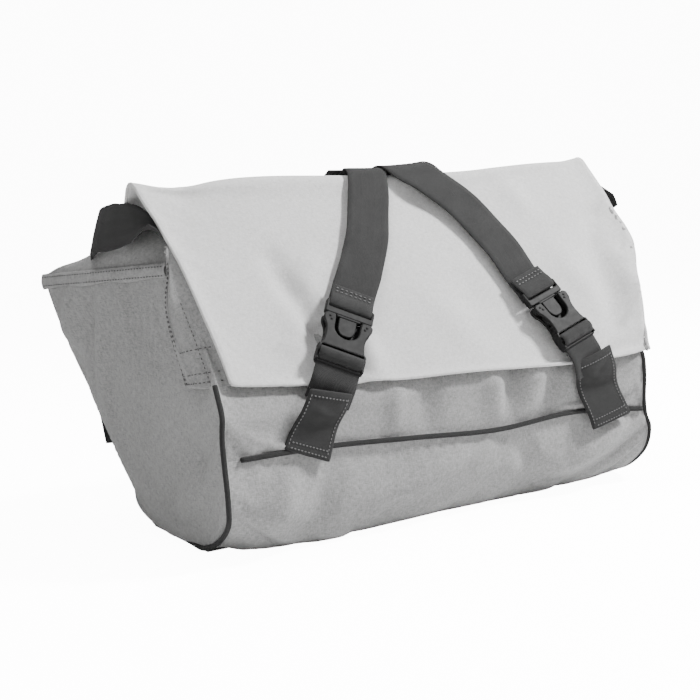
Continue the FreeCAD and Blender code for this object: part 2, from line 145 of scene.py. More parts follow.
def profile(rows, t):
    """One height from (place, height) pairs, read smoothly at places t."""
    places, heights = np.array(rows, float).T
    share = np.interp(t, places, np.linspace(0, 1, len(places)))
    return along(heights[:, None], share)[..., 0]


def step(low, high, t):
    """0 below low, 1 above high, smooth between."""
    t = np.clip((t - low) / (high - low), 0, 1)
    return t * t * (3 - 2 * t)


def crease(a, b, start, end, width, height):
    """A soft ridge, or a valley if height is negative, along a segment on a cloth."""
    start, end = np.array(start, float), np.array(end, float)
    run = end - start
    share = np.clip(((a - start[0]) * run[0] + (b - start[1]) * run[1]) / (run @ run), 0, 1)
    distance = np.hypot(a - start[0] - share * run[0], b - start[1] - share * run[1])
    fade = 0.35 + 0.65 * np.sin(np.pi * np.clip(share, 0.06, 0.94))
    return height * fade * np.exp(-(distance / width) ** 2)


def creases(a, b, rows):
    """Several creases: where each starts and ends on the cloth, its width, and its height in mm."""
    return sum(crease(a, b, row[:2], row[2:4], row[4], row[5] * MM) for row in rows)


def grid(columns, rows):
    """Shares across (u) and along (v), both from 0 to 1."""
    return np.meshgrid(np.linspace(0, 1, columns), np.linspace(0, 1, rows))


def normals(points):
    return unit(np.cross(np.gradient(points, axis=1), np.gradient(points, axis=0)))


def new_piece(name, vertices, faces, body=None, uvs=None):
    data = bpy.data.meshes.new(name)
    data.from_pydata(np.asarray(vertices).tolist(), [], faces)
    if uvs is not None:
        layer = data.uv_layers.new(name="UVMap")
        order = np.empty(len(data.loops), int)
        data.loops.foreach_get("vertex_index", order)
        layer.data.foreach_set("uv", np.asarray(uvs, np.float32)[order].ravel())
    data.shade_smooth()
    piece = bpy.data.objects.new(name, data)
    bpy.context.scene.collection.objects.link(piece)
    if body:
        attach(piece, body)
    return piece


def shell(name, outer, thick, size, body=None):
    """Cloth of one thickness below a grid of points, with a rounded rim; size is its cut."""
    rows, columns, _ = outer.shape
    inner = outer - normals(outer) * thick
    index = np.arange(rows * columns).reshape(rows, columns)
    loop = np.concatenate([index[0, :-1], index[:-1, -1], index[-1, :0:-1], index[:0:-1, 0]])
    flat_outer, flat_inner = outer.reshape(-1, 3), inner.reshape(-1, 3)
    sideways = np.gradient(outer, axis=1)
    lengthways = np.gradient(outer, axis=0)
    away = np.zeros_like(outer)
    away[:, 0] -= unit(sideways[:, 0])
    away[:, -1] += unit(sideways[:, -1])
    away[0] -= unit(lengthways[0])
    away[-1] += unit(lengthways[-1])
    rim = ((flat_outer + flat_inner) / 2)[loop] + unit(away.reshape(-1, 3)[loop]) * thick * 0.4
    vertices = np.concatenate([flat_outer, flat_inner, rim])
    quads = np.stack([index[:-1, :-1], index[:-1, 1:], index[1:, 1:], index[1:, :-1]], -1)
    quads = quads.reshape(-1, 4)
    below = rows * columns
    on_rim = 2 * below + np.arange(len(loop))
    turn = np.roll(np.arange(len(loop)), -1)
    faces = quads.tolist() + (quads[:, ::-1] + below).tolist()
    faces += np.stack([loop[turn], loop, on_rim, on_rim[turn]], -1).tolist()
    faces += np.stack([on_rim[turn], on_rim, loop + below, loop[turn] + below], -1).tolist()
    u, v = grid(columns, rows)
    uv = np.stack([u * size[0], v * size[1]], -1).reshape(-1, 2)
    return new_piece(name, vertices, faces, body, np.concatenate([uv, uv, uv[loop]]))


def crumple(outer, held, grow, cap, frames=14, pressure=0.0, gravity=1.0):
    """Let cloth that is cut a little large settle between its held points, by simulation."""
    rows, columns, _ = outer.shape
    index = np.arange(rows * columns).reshape(rows, columns)
    quads = np.stack([index[:-1, :-1], index[:-1, 1:], index[1:, 1:], index[1:, :-1]], -1)
    cloth = new_piece("settling", outer.reshape(-1, 3), quads.reshape(-1, 4).tolist())
    pins = cloth.vertex_groups.new(name="held")
    pins.add(index[held].tolist(), 1.0, "REPLACE")
    modifier = cloth.modifiers.new("settle", "CLOTH")
    settings = modifier.settings
    settings.quality = 5
    settings.mass = 0.4
    settings.tension_stiffness = 40
    settings.compression_stiffness = 40
    settings.shear_stiffness = 12
    settings.bending_stiffness = 1.2
    settings.air_damping = 4
    settings.vertex_group_mass = "held"
    settings.shrink_min = -grow
    settings.shrink_max = -grow
    settings.effector_weights.gravity = gravity
    if pressure:
        settings.use_pressure = True
        settings.uniform_pressure_force = pressure
    modifier.point_cache.frame_start = 1
    modifier.point_cache.frame_end = frames
    for number in range(1, frames + 1):
        bpy.context.scene.frame_set(number)
    settled = cloth.evaluated_get(bpy.context.evaluated_depsgraph_get()).data
    moved = np.empty(rows * columns * 3)
    settled.vertices.foreach_get("co", moved)
    bpy.data.objects.remove(cloth)
    bpy.context.scene.frame_set(1)
    shift = moved.reshape(outer.shape) - outer
    length = np.linalg.norm(shift, axis=-1, keepdims=True)
    return outer + shift * np.tanh(length / cap) * cap / np.maximum(length, 1e-9)


def rim_held(u, v, sides="lrbt", depth=0.001):
    """Which grid points lie on the named sides: left, right, bottom, top."""
    tests = {"l": u < depth, "r": u > 1 - depth, "b": v < depth, "t": v > 1 - depth}
    return np.any([tests[side] for side in sides], axis=0)


def ring_faces(rings, sides):
    """Faces between rings of points that are listed one after another."""
    faces = []
    for ring in range(rings - 1):
        for k in range(sides):
            a, b = ring * sides + k, ring * sides + (k + 1) % sides
            faces.append([a, b, b + sides, a + sides])
    return faces


def tube(name, path, radius, body, sides=12):
    """A round cord along a smooth row of points, closed at both ends."""
    path = np.asarray(path, float)
    ahead = unit(np.gradient(path, axis=0))
    side = np.cross(ahead[0], (0.31, 0.2, 0.93))
    rings = []
    for place, heading in zip(path, ahead):
        side = unit(side - heading * (side @ heading))
        other = np.cross(heading, side)
        angles = np.linspace(0, 2 * np.pi, sides, endpoint=False)[:, None]
        rings.append(place + radius * (np.cos(angles) * side + np.sin(angles) * other))
    count = len(path)
    vertices = np.concatenate([*rings, path[:1] - ahead[:1] * radius / 2,
                               path[-1:] + ahead[-1:] * radius / 2])
    faces = ring_faces(count, sides)
    for k in range(sides):
        after = (k + 1) % sides
        faces.append([count * sides, after, k])
        faces.append([count * sides + 1, (count - 1) * sides + k, (count - 1) * sides + after])
    run = np.concatenate([[0], np.cumsum(np.linalg.norm(np.diff(path, axis=0), axis=1))])
    uvs = [[k / sides * 2 * np.pi * radius, length] for length in run for k in range(sides)]
    uvs += [[0, 0], [0, run[-1]]]
    return new_piece(name, vertices, faces, body, uvs)


def even(path, spacing):
    """The same line with its points a fixed distance apart."""
    path = np.asarray(path, float)
    run = np.concatenate([[0], np.cumsum(np.linalg.norm(np.diff(path, axis=0), axis=1))])
    places = np.linspace(0, run[-1], max(2, int(round(run[-1] / spacing)) + 1))
    return np.column_stack([np.interp(places, run, path[:, k]) for k in range(3)])


def stitches(name, rows, body, length=2.6 * MM, pitch=4.2 * MM, radius=0.42 * MM):
    """Thread: one short raised stitch after another along each row of points."""
    vertices, faces = [], []
    # one stitch: rings of six points, at shares of its length and of its thickness
    shape = [(-0.5, 0.25), (-0.25, 1.0), (0.25, 1.0), (0.5, 0.25)]
    one = ring_faces(len(shape), 6) + [[5, 4, 3, 2, 1, 0], [18, 19, 20, 21, 22, 23]]
    for path, outwards in rows:
        points = even(path, pitch)
        lift = unit(outwards)
        for here, after in zip(points[:-1], points[1:]):
            ahead = unit(after - here)
            side = unit(np.cross(ahead, lift))
            up = np.cross(side, ahead)
            middle = (here + after) / 2
            base = len(vertices)
            for share, fat in shape:
                for k in range(6):
                    angle = k * math.pi / 3
                    vertices.append(middle + ahead * share * length + radius * fat * (
                        math.cos(angle) * side * 1.3 + math.sin(angle) * up))
            faces += [[base + number for number in face] for face in one]
    return new_piece(name, vertices, faces, body, [[v[0] + v[1], v[2]] for v in vertices])


# ---------------------------------------------------------------- materials

def feed(tree, made, inputs):
    """Fill a node's inputs; each is a value or the output that feeds it."""
    for key, item in inputs.items():
        if isinstance(item, bpy.types.NodeSocket):
            tree.links.new(item, made.inputs[key])
        else:
            made.inputs[key].default_value = item


def add(tree, kind, inputs=None, **settings):
    """A shader node with its settings and inputs."""
    made = tree.nodes.new(kind)
    for key, setting in settings.items():
        setattr(made, key, setting)
    feed(tree, made, inputs or {})
    return made


def maths(tree, operation, a, b=0.0, c=0.0):
    return add(tree, "ShaderNodeMath", {0: a, 1: b, 2: c}, operation=operation).outputs[0]


def grey(level, warm=0.0):
    return (level * (1 + warm), level, level * (1 - warm), 1.0)


def material(name):
    made = bpy.data.materials.new(name)
    made.use_nodes = True
    tree = made.node_tree
    return made, tree, tree.nodes["Principled BSDF"]


def noise(tree, place, scale, detail=2.0, rough=0.5):
    return add(tree, "ShaderNodeTexNoise", {
        "Vector": place, "Scale": scale, "Detail": detail, "Roughness": rough}).outputs["Fac"]


def varied(tree, pattern, middle, amount, tone=1.0):
    """A tone with a pattern's swing about its middle added."""
    return maths(tree, "MULTIPLY_ADD", maths(tree, "SUBTRACT", pattern, middle), amount, tone)


def plain_grey(tree, tone):
    return add(tree, "ShaderNodeCombineColor",
               {"Red": tone, "Green": tone, "Blue": tone}).outputs[0]


def threads(tree, pitch):
    """Plain weave on the cloth's own UVs: height of the threads, and their coordinates."""
    uv = add(tree, "ShaderNodeTexCoord").outputs["UV"]
    parts = add(tree, "ShaderNodeSeparateXYZ", {0: uv})
    waves = []
    for axis in "XY":
        angle = maths(tree, "MULTIPLY", parts.outputs[axis], math.pi / pitch)
        waves.append(maths(tree, "SINE", angle))
    return uv, maths(tree, "MULTIPLY_ADD", maths(tree, "MULTIPLY", *waves), 0.5, 0.5)


def streaks(tree, uv, stretch, scale, detail=3.0):
    """Noise drawn out along one thread direction."""
    drawn = add(tree, "ShaderNodeMapping", {"Vector": uv, "Scale": stretch}).outputs[0]
    return noise(tree, drawn, scale, detail)


def canvas(name, level, pitch=0.62 * MM, mottle=0.10, soil=0.10, weave=0.25):
    """Heathered cotton canvas: weave, slubs along both threads, soft blotches and handling wear."""
    made, tree, shader = material(name)
    uv, height = threads(tree, pitch)
    place = add(tree, "ShaderNodeTexCoord").outputs["Object"]
    slubs = maths(tree, "ADD", streaks(tree, uv, (1, 0.12, 1), 1500),
                  streaks(tree, uv, (0.12, 1, 1), 1500))
    tone = varied(tree, slubs, 1.0, 2.2 * mottle)
    tone = varied(tree, noise(tree, place, 340.0, 5.0, 0.7), 0.5, 2.6 * mottle, tone)
    tone = varied(tree, noise(tree, place, 9.0, 4.0, 0.6), 0.5, 1.8 * soil, tone)
    tone = varied(tree, height, 0.5, weave * 0.35, tone)
    # a mix node's colours are its inputs 6 and 7, and its colour output is 2
    colour = add(tree, "ShaderNodeMix", {0: 1.0, 6: grey(level, 0.004), 7: plain_grey(tree, tone)},
                 data_type="RGBA", blend_type="MULTIPLY")
    relief = maths(tree, "MULTIPLY_ADD", slubs, 0.5, maths(tree, "MULTIPLY", height, 0.8))
    fine = add(tree, "ShaderNodeBump", {"Strength": 0.55, "Distance": 0.35 * MM, "Height": relief})
    broad = add(tree, "ShaderNodeBump", {
        "Strength": 0.35, "Distance": 2.2 * MM, "Height": noise(tree, place, 38.0, 4.0, 0.55),
        "Normal": fine.outputs[0]})
    feed(tree, shader, {
        "Base Color": colour.outputs[2], "Roughness": maths(tree, "MULTIPLY_ADD", slubs, 0.12, 0.74),
        "Sheen Weight": 0.12, "Sheen Roughness": 0.5, "Specular IOR Level": 0.25,
        "Normal": broad.outputs[0]})
    return made


def herringbone(name, level, pitch=1.5 * MM, rib=6.5 * MM, contrast=0.5):
    """Woven nylon tape: diagonal ribs that turn back and forth across its width."""
    made, tree, shader = material(name)
    uv = add(tree, "ShaderNodeTexCoord").outputs["UV"]
    parts = add(tree, "ShaderNodeSeparateXYZ", {0: uv})
    zigzag = maths(tree, "PINGPONG", parts.outputs["X"], rib)
    slant = maths(tree, "ADD", parts.outputs["Y"], zigzag)
    ribs = maths(tree, "SINE", maths(tree, "MULTIPLY", slant, 2 * math.pi / pitch))
    ribs = maths(tree, "MULTIPLY_ADD", ribs, 0.5, 0.5)
    yarn = streaks(tree, uv, (1, 0.2, 1), 1800)
    place = add(tree, "ShaderNodeTexCoord").outputs["Object"]
    tone = maths(tree, "MULTIPLY_ADD", ribs, contrast, 1 - contrast / 2)
    tone = varied(tree, yarn, 0.5, 0.7, tone)
    tone = varied(tree, noise(tree, place, 60.0, 5.0, 0.6), 0.5, 0.5, tone)
    relief = maths(tree, "MULTIPLY_ADD", yarn, 0.5, ribs)
    bump = add(tree, "ShaderNodeBump", {"Strength": 0.7, "Distance": 0.4 * MM, "Height": relief})
    feed(tree, shader, {
        "Base Color": plain_grey(tree, maths(tree, "MULTIPLY", tone, level)),
        "Roughness": maths(tree, "MULTIPLY_ADD", yarn, 0.2, 0.72),
        "Sheen Weight": 0.05, "Specular IOR Level": 0.10, "Normal": bump.outputs[0]})
    return made


def moulded_plastic(name, level):
    """Satin near-black plastic: faint spark texture, flow marks and rubbed scratches."""
    made, tree, shader = material(name)
    place = add(tree, "ShaderNodeTexCoord").outputs["Object"]
    grain = noise(tree, place, 2600.0)
    rubbed = noise(tree, place, 150.0, 6.0, 0.7)
    tone = maths(tree, "MULTIPLY", maths(tree, "MULTIPLY_ADD", rubbed, 0.9, 0.55), level)
    bump = add(tree, "ShaderNodeBump", {"Strength": 0.12, "Distance": 0.1 * MM, "Height": grain})
    feed(tree, shader, {
        "Base Color": plain_grey(tree, tone),
        "Roughness": maths(tree, "MULTIPLY_ADD", rubbed, 0.25, 0.50),
        "Specular IOR Level": 0.2, "Normal": bump.outputs[0]})
    return made


def thread(name, level):
    """Twisted sewing thread."""
    made, tree, shader = material(name)
    place = add(tree, "ShaderNodeTexCoord").outputs["Object"]
    twist = noise(tree, place, 1400.0)
    tone = maths(tree, "MULTIPLY", maths(tree, "MULTIPLY_ADD", twist, 0.8, 0.6), level)
    bump = add(tree, "ShaderNodeBump", {"Strength": 0.5, "Distance": 0.2 * MM, "Height": twist})
    feed(tree, shader, {"Base Color": plain_grey(tree, tone), "Roughness": 0.6,
                        "Normal": bump.outputs[0]})
    return made


# Body and flap are one canvas; the flap's higher level is painted light, the paler tone of cloth lit
# from above.
body_canvas = canvas("body_canvas", 0.225, mottle=0.38, soil=0.20, weave=0.6)
flap_canvas = canvas("flap_canvas", 0.48, mottle=0.20, soil=0.10, weave=0.4)
webbing_cloth = herringbone("webbing_tape", 0.026)
sleeve_cloth = herringbone("sleeve_twill", 0.023, pitch=1.0 * MM, rib=0.2, contrast=0.3)
piping_cloth = herringbone("piping_cloth", 0.022, pitch=0.9 * MM, rib=0.2, contrast=0.3)
buckle_plastic = moulded_plastic("buckle_plastic", 0.004)
seam_thread = thread("seam_thread", 0.05)
dark_thread = thread("dark_thread", 0.085)


def finish_as(piece, surface, node=None):
    """Give a piece its material, and hide the CAD node it stands in for."""
    piece.data.materials.clear()
    piece.data.materials.append(surface)
    if node:
        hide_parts(node)
    return piece


# ---------------------------------------------------------------- camera, light and floor

# how bright the white backdrop is to the camera alone
BACKDROP = 12.0


def studio():
    """Camera, floor and soft light."""
    turn, rise, roll = math.radians(-28), math.radians(6.5), math.radians(-4.2)
    target = np.array([-0.038, 0.0, 0.150])
    distance = 1.278
    back = np.array([math.sin(turn) * math.cos(rise), -math.cos(turn) * math.cos(rise),
                     math.sin(rise)])
    level = np.array([math.cos(turn), math.sin(turn), 0.0])
    upright = np.cross(back, level)
    right = math.cos(roll) * level + math.sin(roll) * upright
    up = np.cross(back, right)
    lens = bpy.data.cameras.new("camera")
    lens.lens, lens.sensor_width = 68.9, 36.0
    camera = bpy.data.objects.new("camera", lens)
    camera.matrix_world = placed(right, up, back, target + distance * back)
    bpy.context.scene.collection.objects.link(camera)
    bpy.context.scene.camera = camera

    made, tree, shader = material("floor")
    speckle = add(tree, "ShaderNodeTexNoise", {"Scale": 60.0, "Detail": 3.0}).outputs["Fac"]
    tone = maths(tree, "MULTIPLY_ADD", speckle, 0.02, 0.95)
    seen = add(tree, "ShaderNodeLightPath").outputs["Is Camera Ray"]
    feed(tree, shader, {
        "Base Color": plain_grey(tree, tone), "Emission Color": (1, 1, 1, 1), "Roughness": 0.9,
        "Emission Strength": maths(tree, "MULTIPLY", seen, BACKDROP)})
    reach = 6.0
    floor = new_piece("floor", [(-reach, -reach, 0), (reach, -reach, 0), (reach, reach, 0),
                                (-reach, reach, 0)], [(0, 1, 2, 3)])
    floor.data.materials.append(made)

    world = bpy.data.worlds.new("studio")
    world.use_nodes = True
    tree = world.node_tree
    seen = add(tree, "ShaderNodeLightPath").outputs["Is Camera Ray"]
    feed(tree, tree.nodes["Background"], {
        "Color": (1, 1, 1, 1), "Strength": maths(tree, "MULTIPLY_ADD", seen, BACKDROP, 0.36)})
    bpy.context.scene.world = world
    for name, place, size, power in (
            ("key", (1.35, -0.75, 1.7), 0.35, 125), ("fill", (-1.6, -1.6, 1.0), 1.0, 11),
            ("top", (-0.3, 0.3, 2.2), 0.9, 34)):
        lamp = bpy.data.lights.new(name, "AREA")
        lamp.size, lamp.energy = size, power
        holder = bpy.data.objects.new(name, lamp)
        away = unit(np.array(place) - np.array([0, 0, 0.15]))
        side = unit(np.cross((0, 0, 1), away))
        holder.matrix_world = placed(side, np.cross(away, side), away, place)
        bpy.context.scene.collection.objects.link(holder)


studio()

# ---------------------------------------------------------------- the tub

CANVAS = 1.6 * MM
# the seam from left to right: how far it stands in front of the front face, and its height
SEAM = [(8, 88), (6, 87), (4, 81), (3, 75), (3, 79), (4, 71)]
# below the seam, down to the front of the base: (stand in front of the front face, height)
BELLIES = [
    [(16, 60), (7, 34), (-26, 13), (-56, 4)],
    [(15, 60), (13, 32), (-9, 8), (-53, 1)],
    [(10, 56), (7, 32), (-15, 11), (-53, 1)],
    [(8, 54), (4, 32), (-18, 12), (-53, 1)],
    [(9, 56), (5, 33), (-16, 12), (-53, 1)],
    [(9, 52), (2, 31), (-24, 12), (-54, 3)],
]
# above the seam, up to the mouth
CHESTS = [[(7, 108), (3, 131), (-37, 182), (-87, 247)]] * 6


def front_point(u, v, rows):
    """The front of the tub at shares across and along; rows continue from the seam."""
    stations = np.array([[seam] + row for seam, row in zip(SEAM, rows)], float) * MM
    lines = np.stack([along(station, v) for station in stations])
    ahead, z = np.moveaxis(across(lines, u), -1, 0)
    y = front_y - ahead
    part = slice(4, None, -1) if rows is BELLIES else slice(4, None)
    left, right = [along(np.array(FRONT_FLARE[side][part], float)[:, None] * MM, v)[..., 0]
                   for side in SIDES]
    flare = left * (1 - u) + right * u
    x = (2 * u - 1) * (end_x(y, z) + flare)
    return np.stack([x, y, z], -1)


FRONT_CREASES = (
    (0.036, 0.150, 0.050, 0.086, 0.012, 4), (0.072, 0.150, 0.058, 0.086, 0.009, -6),
    (0.102, 0.150, 0.080, 0.088, 0.012, 4), (0.126, 0.148, 0.100, 0.090, 0.009, -4),
    (-0.020, 0.136, -0.032, 0.086, 0.012, -5), (-0.058, 0.132, -0.062, 0.090, 0.010, 4),
    (0.030, 0.066, -0.080, 0.026, 0.013, 7), (0.010, 0.044, -0.100, 0.012, 0.010, -7),
    (0.198, 0.066, 0.115, 0.030, 0.012, 6), (0.205, 0.048, 0.130, 0.014, 0.009, -7),
    (-0.165, 0.075, -0.195, 0.016, 0.016, 7), (-0.130, 0.062, -0.150, 0.020, 0.013, -5),
    (0.060, 0.070, 0.092, 0.024, 0.010, -5))


def front_folds(x, z):
    """Folds of the front below and above the seam."""
    return creases(x, z, FRONT_CREASES)


def relief(points, height, u, v, margin=0.06):
    """Push a panel out along its normal, fading to nothing at its seams."""
    fade = step(0, margin, u) * step(0, margin, 1 - u) * step(0, 2 * margin, v) * step(
        0, 2 * margin, 1 - v)
    return points + normals(points) * (height * fade)[..., None]


def front_panels():
    u, v = grid(110, 34)
    for name, rows, size, cap in (("front_lower_panel", BELLIES, (0.44, 0.125), 7 * MM),
                                  ("front_upper_panel", CHESTS, (0.46, 0.205), 3 * MM)):
        # the lower panel's rows run down from the seam, so they are turned to run up
        points = front_point(u, v, rows)[::-1 if rows is BELLIES else 1]
        points = relief(points, 1.3 * front_folds(points[..., 0], points[..., 2]), u, v)
        points = crumple(points, rim_held(u, v), 0.020, cap, pressure=1.5)
        points[..., 2] = np.maximum(points[..., 2], 0.4 * MM)
        piece = shell(f"{name}_cloth", points, CANVAS, size, "sack")
        finish_as(piece, body_canvas, name)


# rear edge of an end: y, z and how far it flares out, from the base to the hem
REAR_RIM = [(62, 1, -8), (82, 26, -8), (100, 60, -6), (110, 92, 1), (121, 127, 6), (134, 166, 12),
            (147, 205, 16), (155, 242, 19)]
# how far the front edge of each end flares out, in mm, from the base to the mouth
FRONT_FLARE = {"left": [8, 10, 14, 15, 9, 7, 2, -11, -14],
               "right": [0, 0, 2, 3, 0, -3, -6, -9, -8]}


def front_rim(side, v):
    """The front edge of an end panel, from the base up to the mouth: y, z and flare."""
    station = 0 if side == "left" else -1
    rows = list(reversed(BELLIES[station])) + [SEAM[station]] + CHESTS[station]
    ahead, z = (np.array(rows, float) * MM).T
    return along(np.column_stack([front_y - ahead, z, np.array(FRONT_FLARE[side]) * MM]), v)


def rear_rim(v):
    """The rear edge of an end panel: y, z and how far it stands out from the flat end."""
    return along(np.array(REAR_RIM, float) * MM, v)


END_CREASES = (
    (0.085, 0.238, 0.100, 0.165, 0.016, -6), (0.045, 0.238, -0.020, 0.175, 0.013, -4),
    (0.120, 0.165, 0.135, 0.110, 0.014, -6), (0.112, 0.225, 0.130, 0.175, 0.014, 4),
    (0.015, 0.215, -0.030, 0.170, 0.012, 4), (-0.080, 0.060, -0.020, 0.030, 0.018, 5),
    (-0.060, 0.110, -0.090, 0.050, 0.012, -4), (0.030, 0.040, 0.090, 0.020, 0.014, 4))


def end_surface(side, u, v):
    """An end panel's outer face: u from its front edge to its rear edge, v upwards."""
    y, z, flare = np.moveaxis(
        front_rim(side, v) * (1 - u[..., None]) + rear_rim(v) * u[..., None], -1, 0)
    bulge = 10 * MM * np.exp(-((y - 0.035) / 0.075) ** 2 - ((z - 0.085) / 0.075) ** 2)
    folds = creases(y, z, END_CREASES)
    fade = step(0, 0.08, u) * step(0, 0.05, 1 - u) * step(0, 0.1, v) * step(0, 0.06, 1 - v)
    x = end_x(y, z) + flare + (bulge + 1.5 * folds) * fade
    sign = SIGN[side]
    return np.stack([sign * x, y, z], -1)


def end_panels():
    u, v = grid(56, 60)
    for side in SIDES:
        points = end_surface(side, 1 - u if side == "left" else u, v)
        points = crumple(points, rim_held(u, v), 0.020, 6 * MM, pressure=1.0)
        piece = shell(f"{side}_end_panel_cloth", points, CANVAS, (0.215, 0.255), "sack")
        finish_as(piece, body_canvas, f"{side}_end_panel")


def rear_and_bottom():
    u, v = grid(80, 40)
    y, z, flare = np.moveaxis(rear_rim(v), -1, 0)
    points = np.stack([(1 - 2 * u) * (end_x(y, z) + flare), y, z], -1)
    folds = (5 * MM * np.sin(np.pi * v) * np.sin(np.pi * u)
             + crease(points[..., 0], v, (-0.16, 0.9), (-0.10, 0.3), 0.05, -3 * MM)
             + crease(points[..., 0], v, (0.12, 0.85), (0.17, 0.2), 0.06, -3 * MM))
    points = relief(points, folds, u, v)
    points[..., 2] += 11 * MM * step(0.82, 1, v) * step(0, 0.1, u) * step(0, 0.1, 1 - u)
    points = crumple(points, rim_held(u, v), 0.012, 5 * MM, pressure=0.6)
    rear = finish_as(shell("rear_panel_cloth", points, CANVAS, (0.52, 0.26), "sack"),
                     body_canvas, "rear_panel")
    u, v = grid(60, 20)
    back = REAR_RIM[0][0] * MM
    y = base_front - 2 * MM + (back - base_front + 2 * MM) * (1 - v)
    z = 0.8 * MM + 0.6 * MM * np.sin(9 * u) ** 2 * np.sin(np.pi * v)
    flare = (FRONT_FLARE["left"][0] * (1 - u) + FRONT_FLARE["right"][0] * u) * v * MM
    points = np.stack([(2 * u - 1) * (end_x(y, 0 * y) - 7 * MM * (1 - v) + flare), y, z], -1)
    bottom = finish_as(shell("bottom_panel_cloth", points, CANVAS, (0.45, 0.15), "sack"),
                       body_canvas, "bottom_panel")


def pipings():
    u = np.linspace(0, 1, 140)
    radius = 2.3 * MM
    seam = front_point(u, 0 * u, BELLIES) + np.array([0, -radius * 0.8, 0])
    keep = np.abs(seam[:, 0]) < end_x(seam[:, 1], seam[:, 2]) - radius
    piece = finish_as(tube("front_seam_piping_cord", seam[keep], radius, "sack"),
                      piping_cloth, "front_seam_piping")
    for side in SIDES:
        sign = SIGN[side]
        rise = front_rim(side, np.linspace(0, 0.80, 13))[::-1]
        back = rear_rim(np.linspace(0.03, 0.93, 12))
        share = np.linspace(0, 1, 6)[1:-1, None]
        line = np.vstack([rise, rise[-1] * (1 - share) + back[0] * share, back])
        y, z, flare = along(line, np.linspace(0, 1, 220)).T
        behind = step(0.045, 0.085, y)
        path = np.column_stack([
            sign * (end_x(y, z) + flare + radius * (0.7 - 1.9 * behind)),
            y + 0.9 * radius * behind, np.maximum(z, radius)])
        piece = finish_as(tube(f"{side}_end_piping_cord", path, radius, "sack"),
                          piping_cloth, f"{side}_end_piping")


front_panels()
end_panels()
rear_and_bottom()
pipings()

# ---------------------------------------------------------------- hems and storm collars

HEM = 13 * MM


def hem_point(side, share, rise, out=0.0):
    """A point near the top of an end: share of the way back along the hem, rise above it."""
    sign = SIGN[side]
    front = np.array([FRONT_FLARE[side][-1] * MM, mouth_y, hem_z])
    back = np.array([REAR_RIM[-1][2] * MM, REAR_RIM[-1][0] * MM, REAR_RIM[-1][1] * MM])
    share, rise = np.broadcast_arrays(share, rise)
    flare, y, z = np.moveaxis(front + (back - front) * share[..., None], -1, 0)
    lean = back_lean * share
    return np.stack([sign * (end_x(y, z) + flare + out), y + lean * rise, z + rise], -1)


back_lean = (REAR_RIM[-1][0] - REAR_RIM[-2][0]) / (REAR_RIM[-1][1] - REAR_RIM[-2][1])


def end_hems():
    u, v = grid(70, 8)
    for side in SIDES:
        turn = 1 - u if side == "left" else u
        low = -HEM + 1.0 * MM * np.sin(17 * turn)
        puff = 1.6 * MM * np.sin(np.pi * v) + 0.5 * MM * np.sin(40 * turn + 3 * v)
        points = hem_point(side, turn, low * (1 - v), 1.4 * MM + puff)
        piece = finish_as(shell(f"{side}_end_hem_band", points, 1.4 * MM, (0.19, HEM), "sack"),
                          body_canvas, f"{side}_end_hem")
        rows = []
        for height in (0.18, 0.80):
            share = np.linspace(0.01, 0.99, 60)
            puffed = 1.6 * MM * np.sin(np.pi * height) + 1.9 * MM
            rows.append((hem_point(side, share, -HEM * (1 - height), puffed),
                         (SIGN[side], 0, 0)))
        finish_as(stitches(f"{side}_hem_stitches", rows, "sack"), seam_thread)


def collar_surface(side, u, v):
    """Storm collar: u from its rear tip forwards, v from the hem up to its free edge."""
    sign = SIGN[side]
    height = profile([(0, 2), (0.12, 14), (0.3, 28), (0.5, 41), (0.72, 46), (0.86, 38), (0.95, 16),
                      (1, 4)], u) * MM
    lean = math.radians(37) * (0.35 + 0.65 * v)
    wave = 4.0 * MM * np.sin(11 * u + 1.2) * v + 2.8 * MM * np.sin(27 * u) * v * (1 - 0.4 * v)
    foot = hem_point(side, 0.985 - 0.985 * u, -2 * MM)
    foot[..., 0] -= sign * (0.5 * MM + v * height * np.sin(lean) - wave)
    foot[..., 2] += v * height * np.cos(lean) + 0.8 * MM * np.sin(19 * u) * v
    return foot


def collars():
    u, v = grid(60, 22)
    for side in SIDES:
        share = u if side == "left" else 1 - u
        points = collar_surface(side, share, v)
        points = crumple(points, rim_held(u, v, "b"), 0.01, 3 * MM, gravity=0.4)
        points = below_flap(points, 8 * MM)
        piece = shell(f"{side}_storm_collar_cloth", points, 2.2 * MM, (0.18, 0.052), "sack")
        finish_as(piece, body_canvas, f"{side}_storm_collar")


# ---------------------------------------------------------------- flap

FLAP_CLOTH = 3.0 * MM
RIDGE_ROUND = 12 * MM
front_run, back_run = ridge - flap_edge, hinge - ridge
slope_length, back_length = np.hypot(*front_run[1:]), np.hypot(*back_run[1:])
rising = math.atan2(front_run[2], front_run[1])
falling = math.atan2(back_run[2], back_run[1])
bend = rising - falling
before_bend = slope_length - RIDGE_ROUND * math.tan(bend / 2)
flap_length = before_bend + RIDGE_ROUND * bend + back_length - RIDGE_ROUND * math.tan(bend / 2)

# half widths at places up the slope
LEFT_HALF = [(-20, 209), (18, 209), (45, 210), (80, 213), (138, 219), (183, 228), (214, 237),
             (240, 239), (300, 226), (385, 199)]
RIGHT_HALF = [(-20, 221), (5, 223), (35, 230), (64, 240), (108, 261), (130, 263), (151, 259),
              (176, 257), (217, 250), (240, 247), (300, 232), (385, 199)]


def flap_line(s):
    """(y, z) on the flap's middle line at a length s up from its edge, and its heading."""
    turned = np.clip((s - before_bend) / RIDGE_ROUND, 0, bend)
    heading = rising - turned
    first = np.minimum(s, before_bend)
    last = np.maximum(s - before_bend - RIDGE_ROUND * bend, 0)
    y = (flap_edge[1] + first * math.cos(rising)
         + RIDGE_ROUND * (math.sin(rising) - np.sin(heading)) + last * math.cos(falling))
    z = (flap_edge[2] + first * math.sin(rising)
         + RIDGE_ROUND * (np.cos(heading) - math.cos(rising)) + last * math.sin(falling))
    return y, z, heading


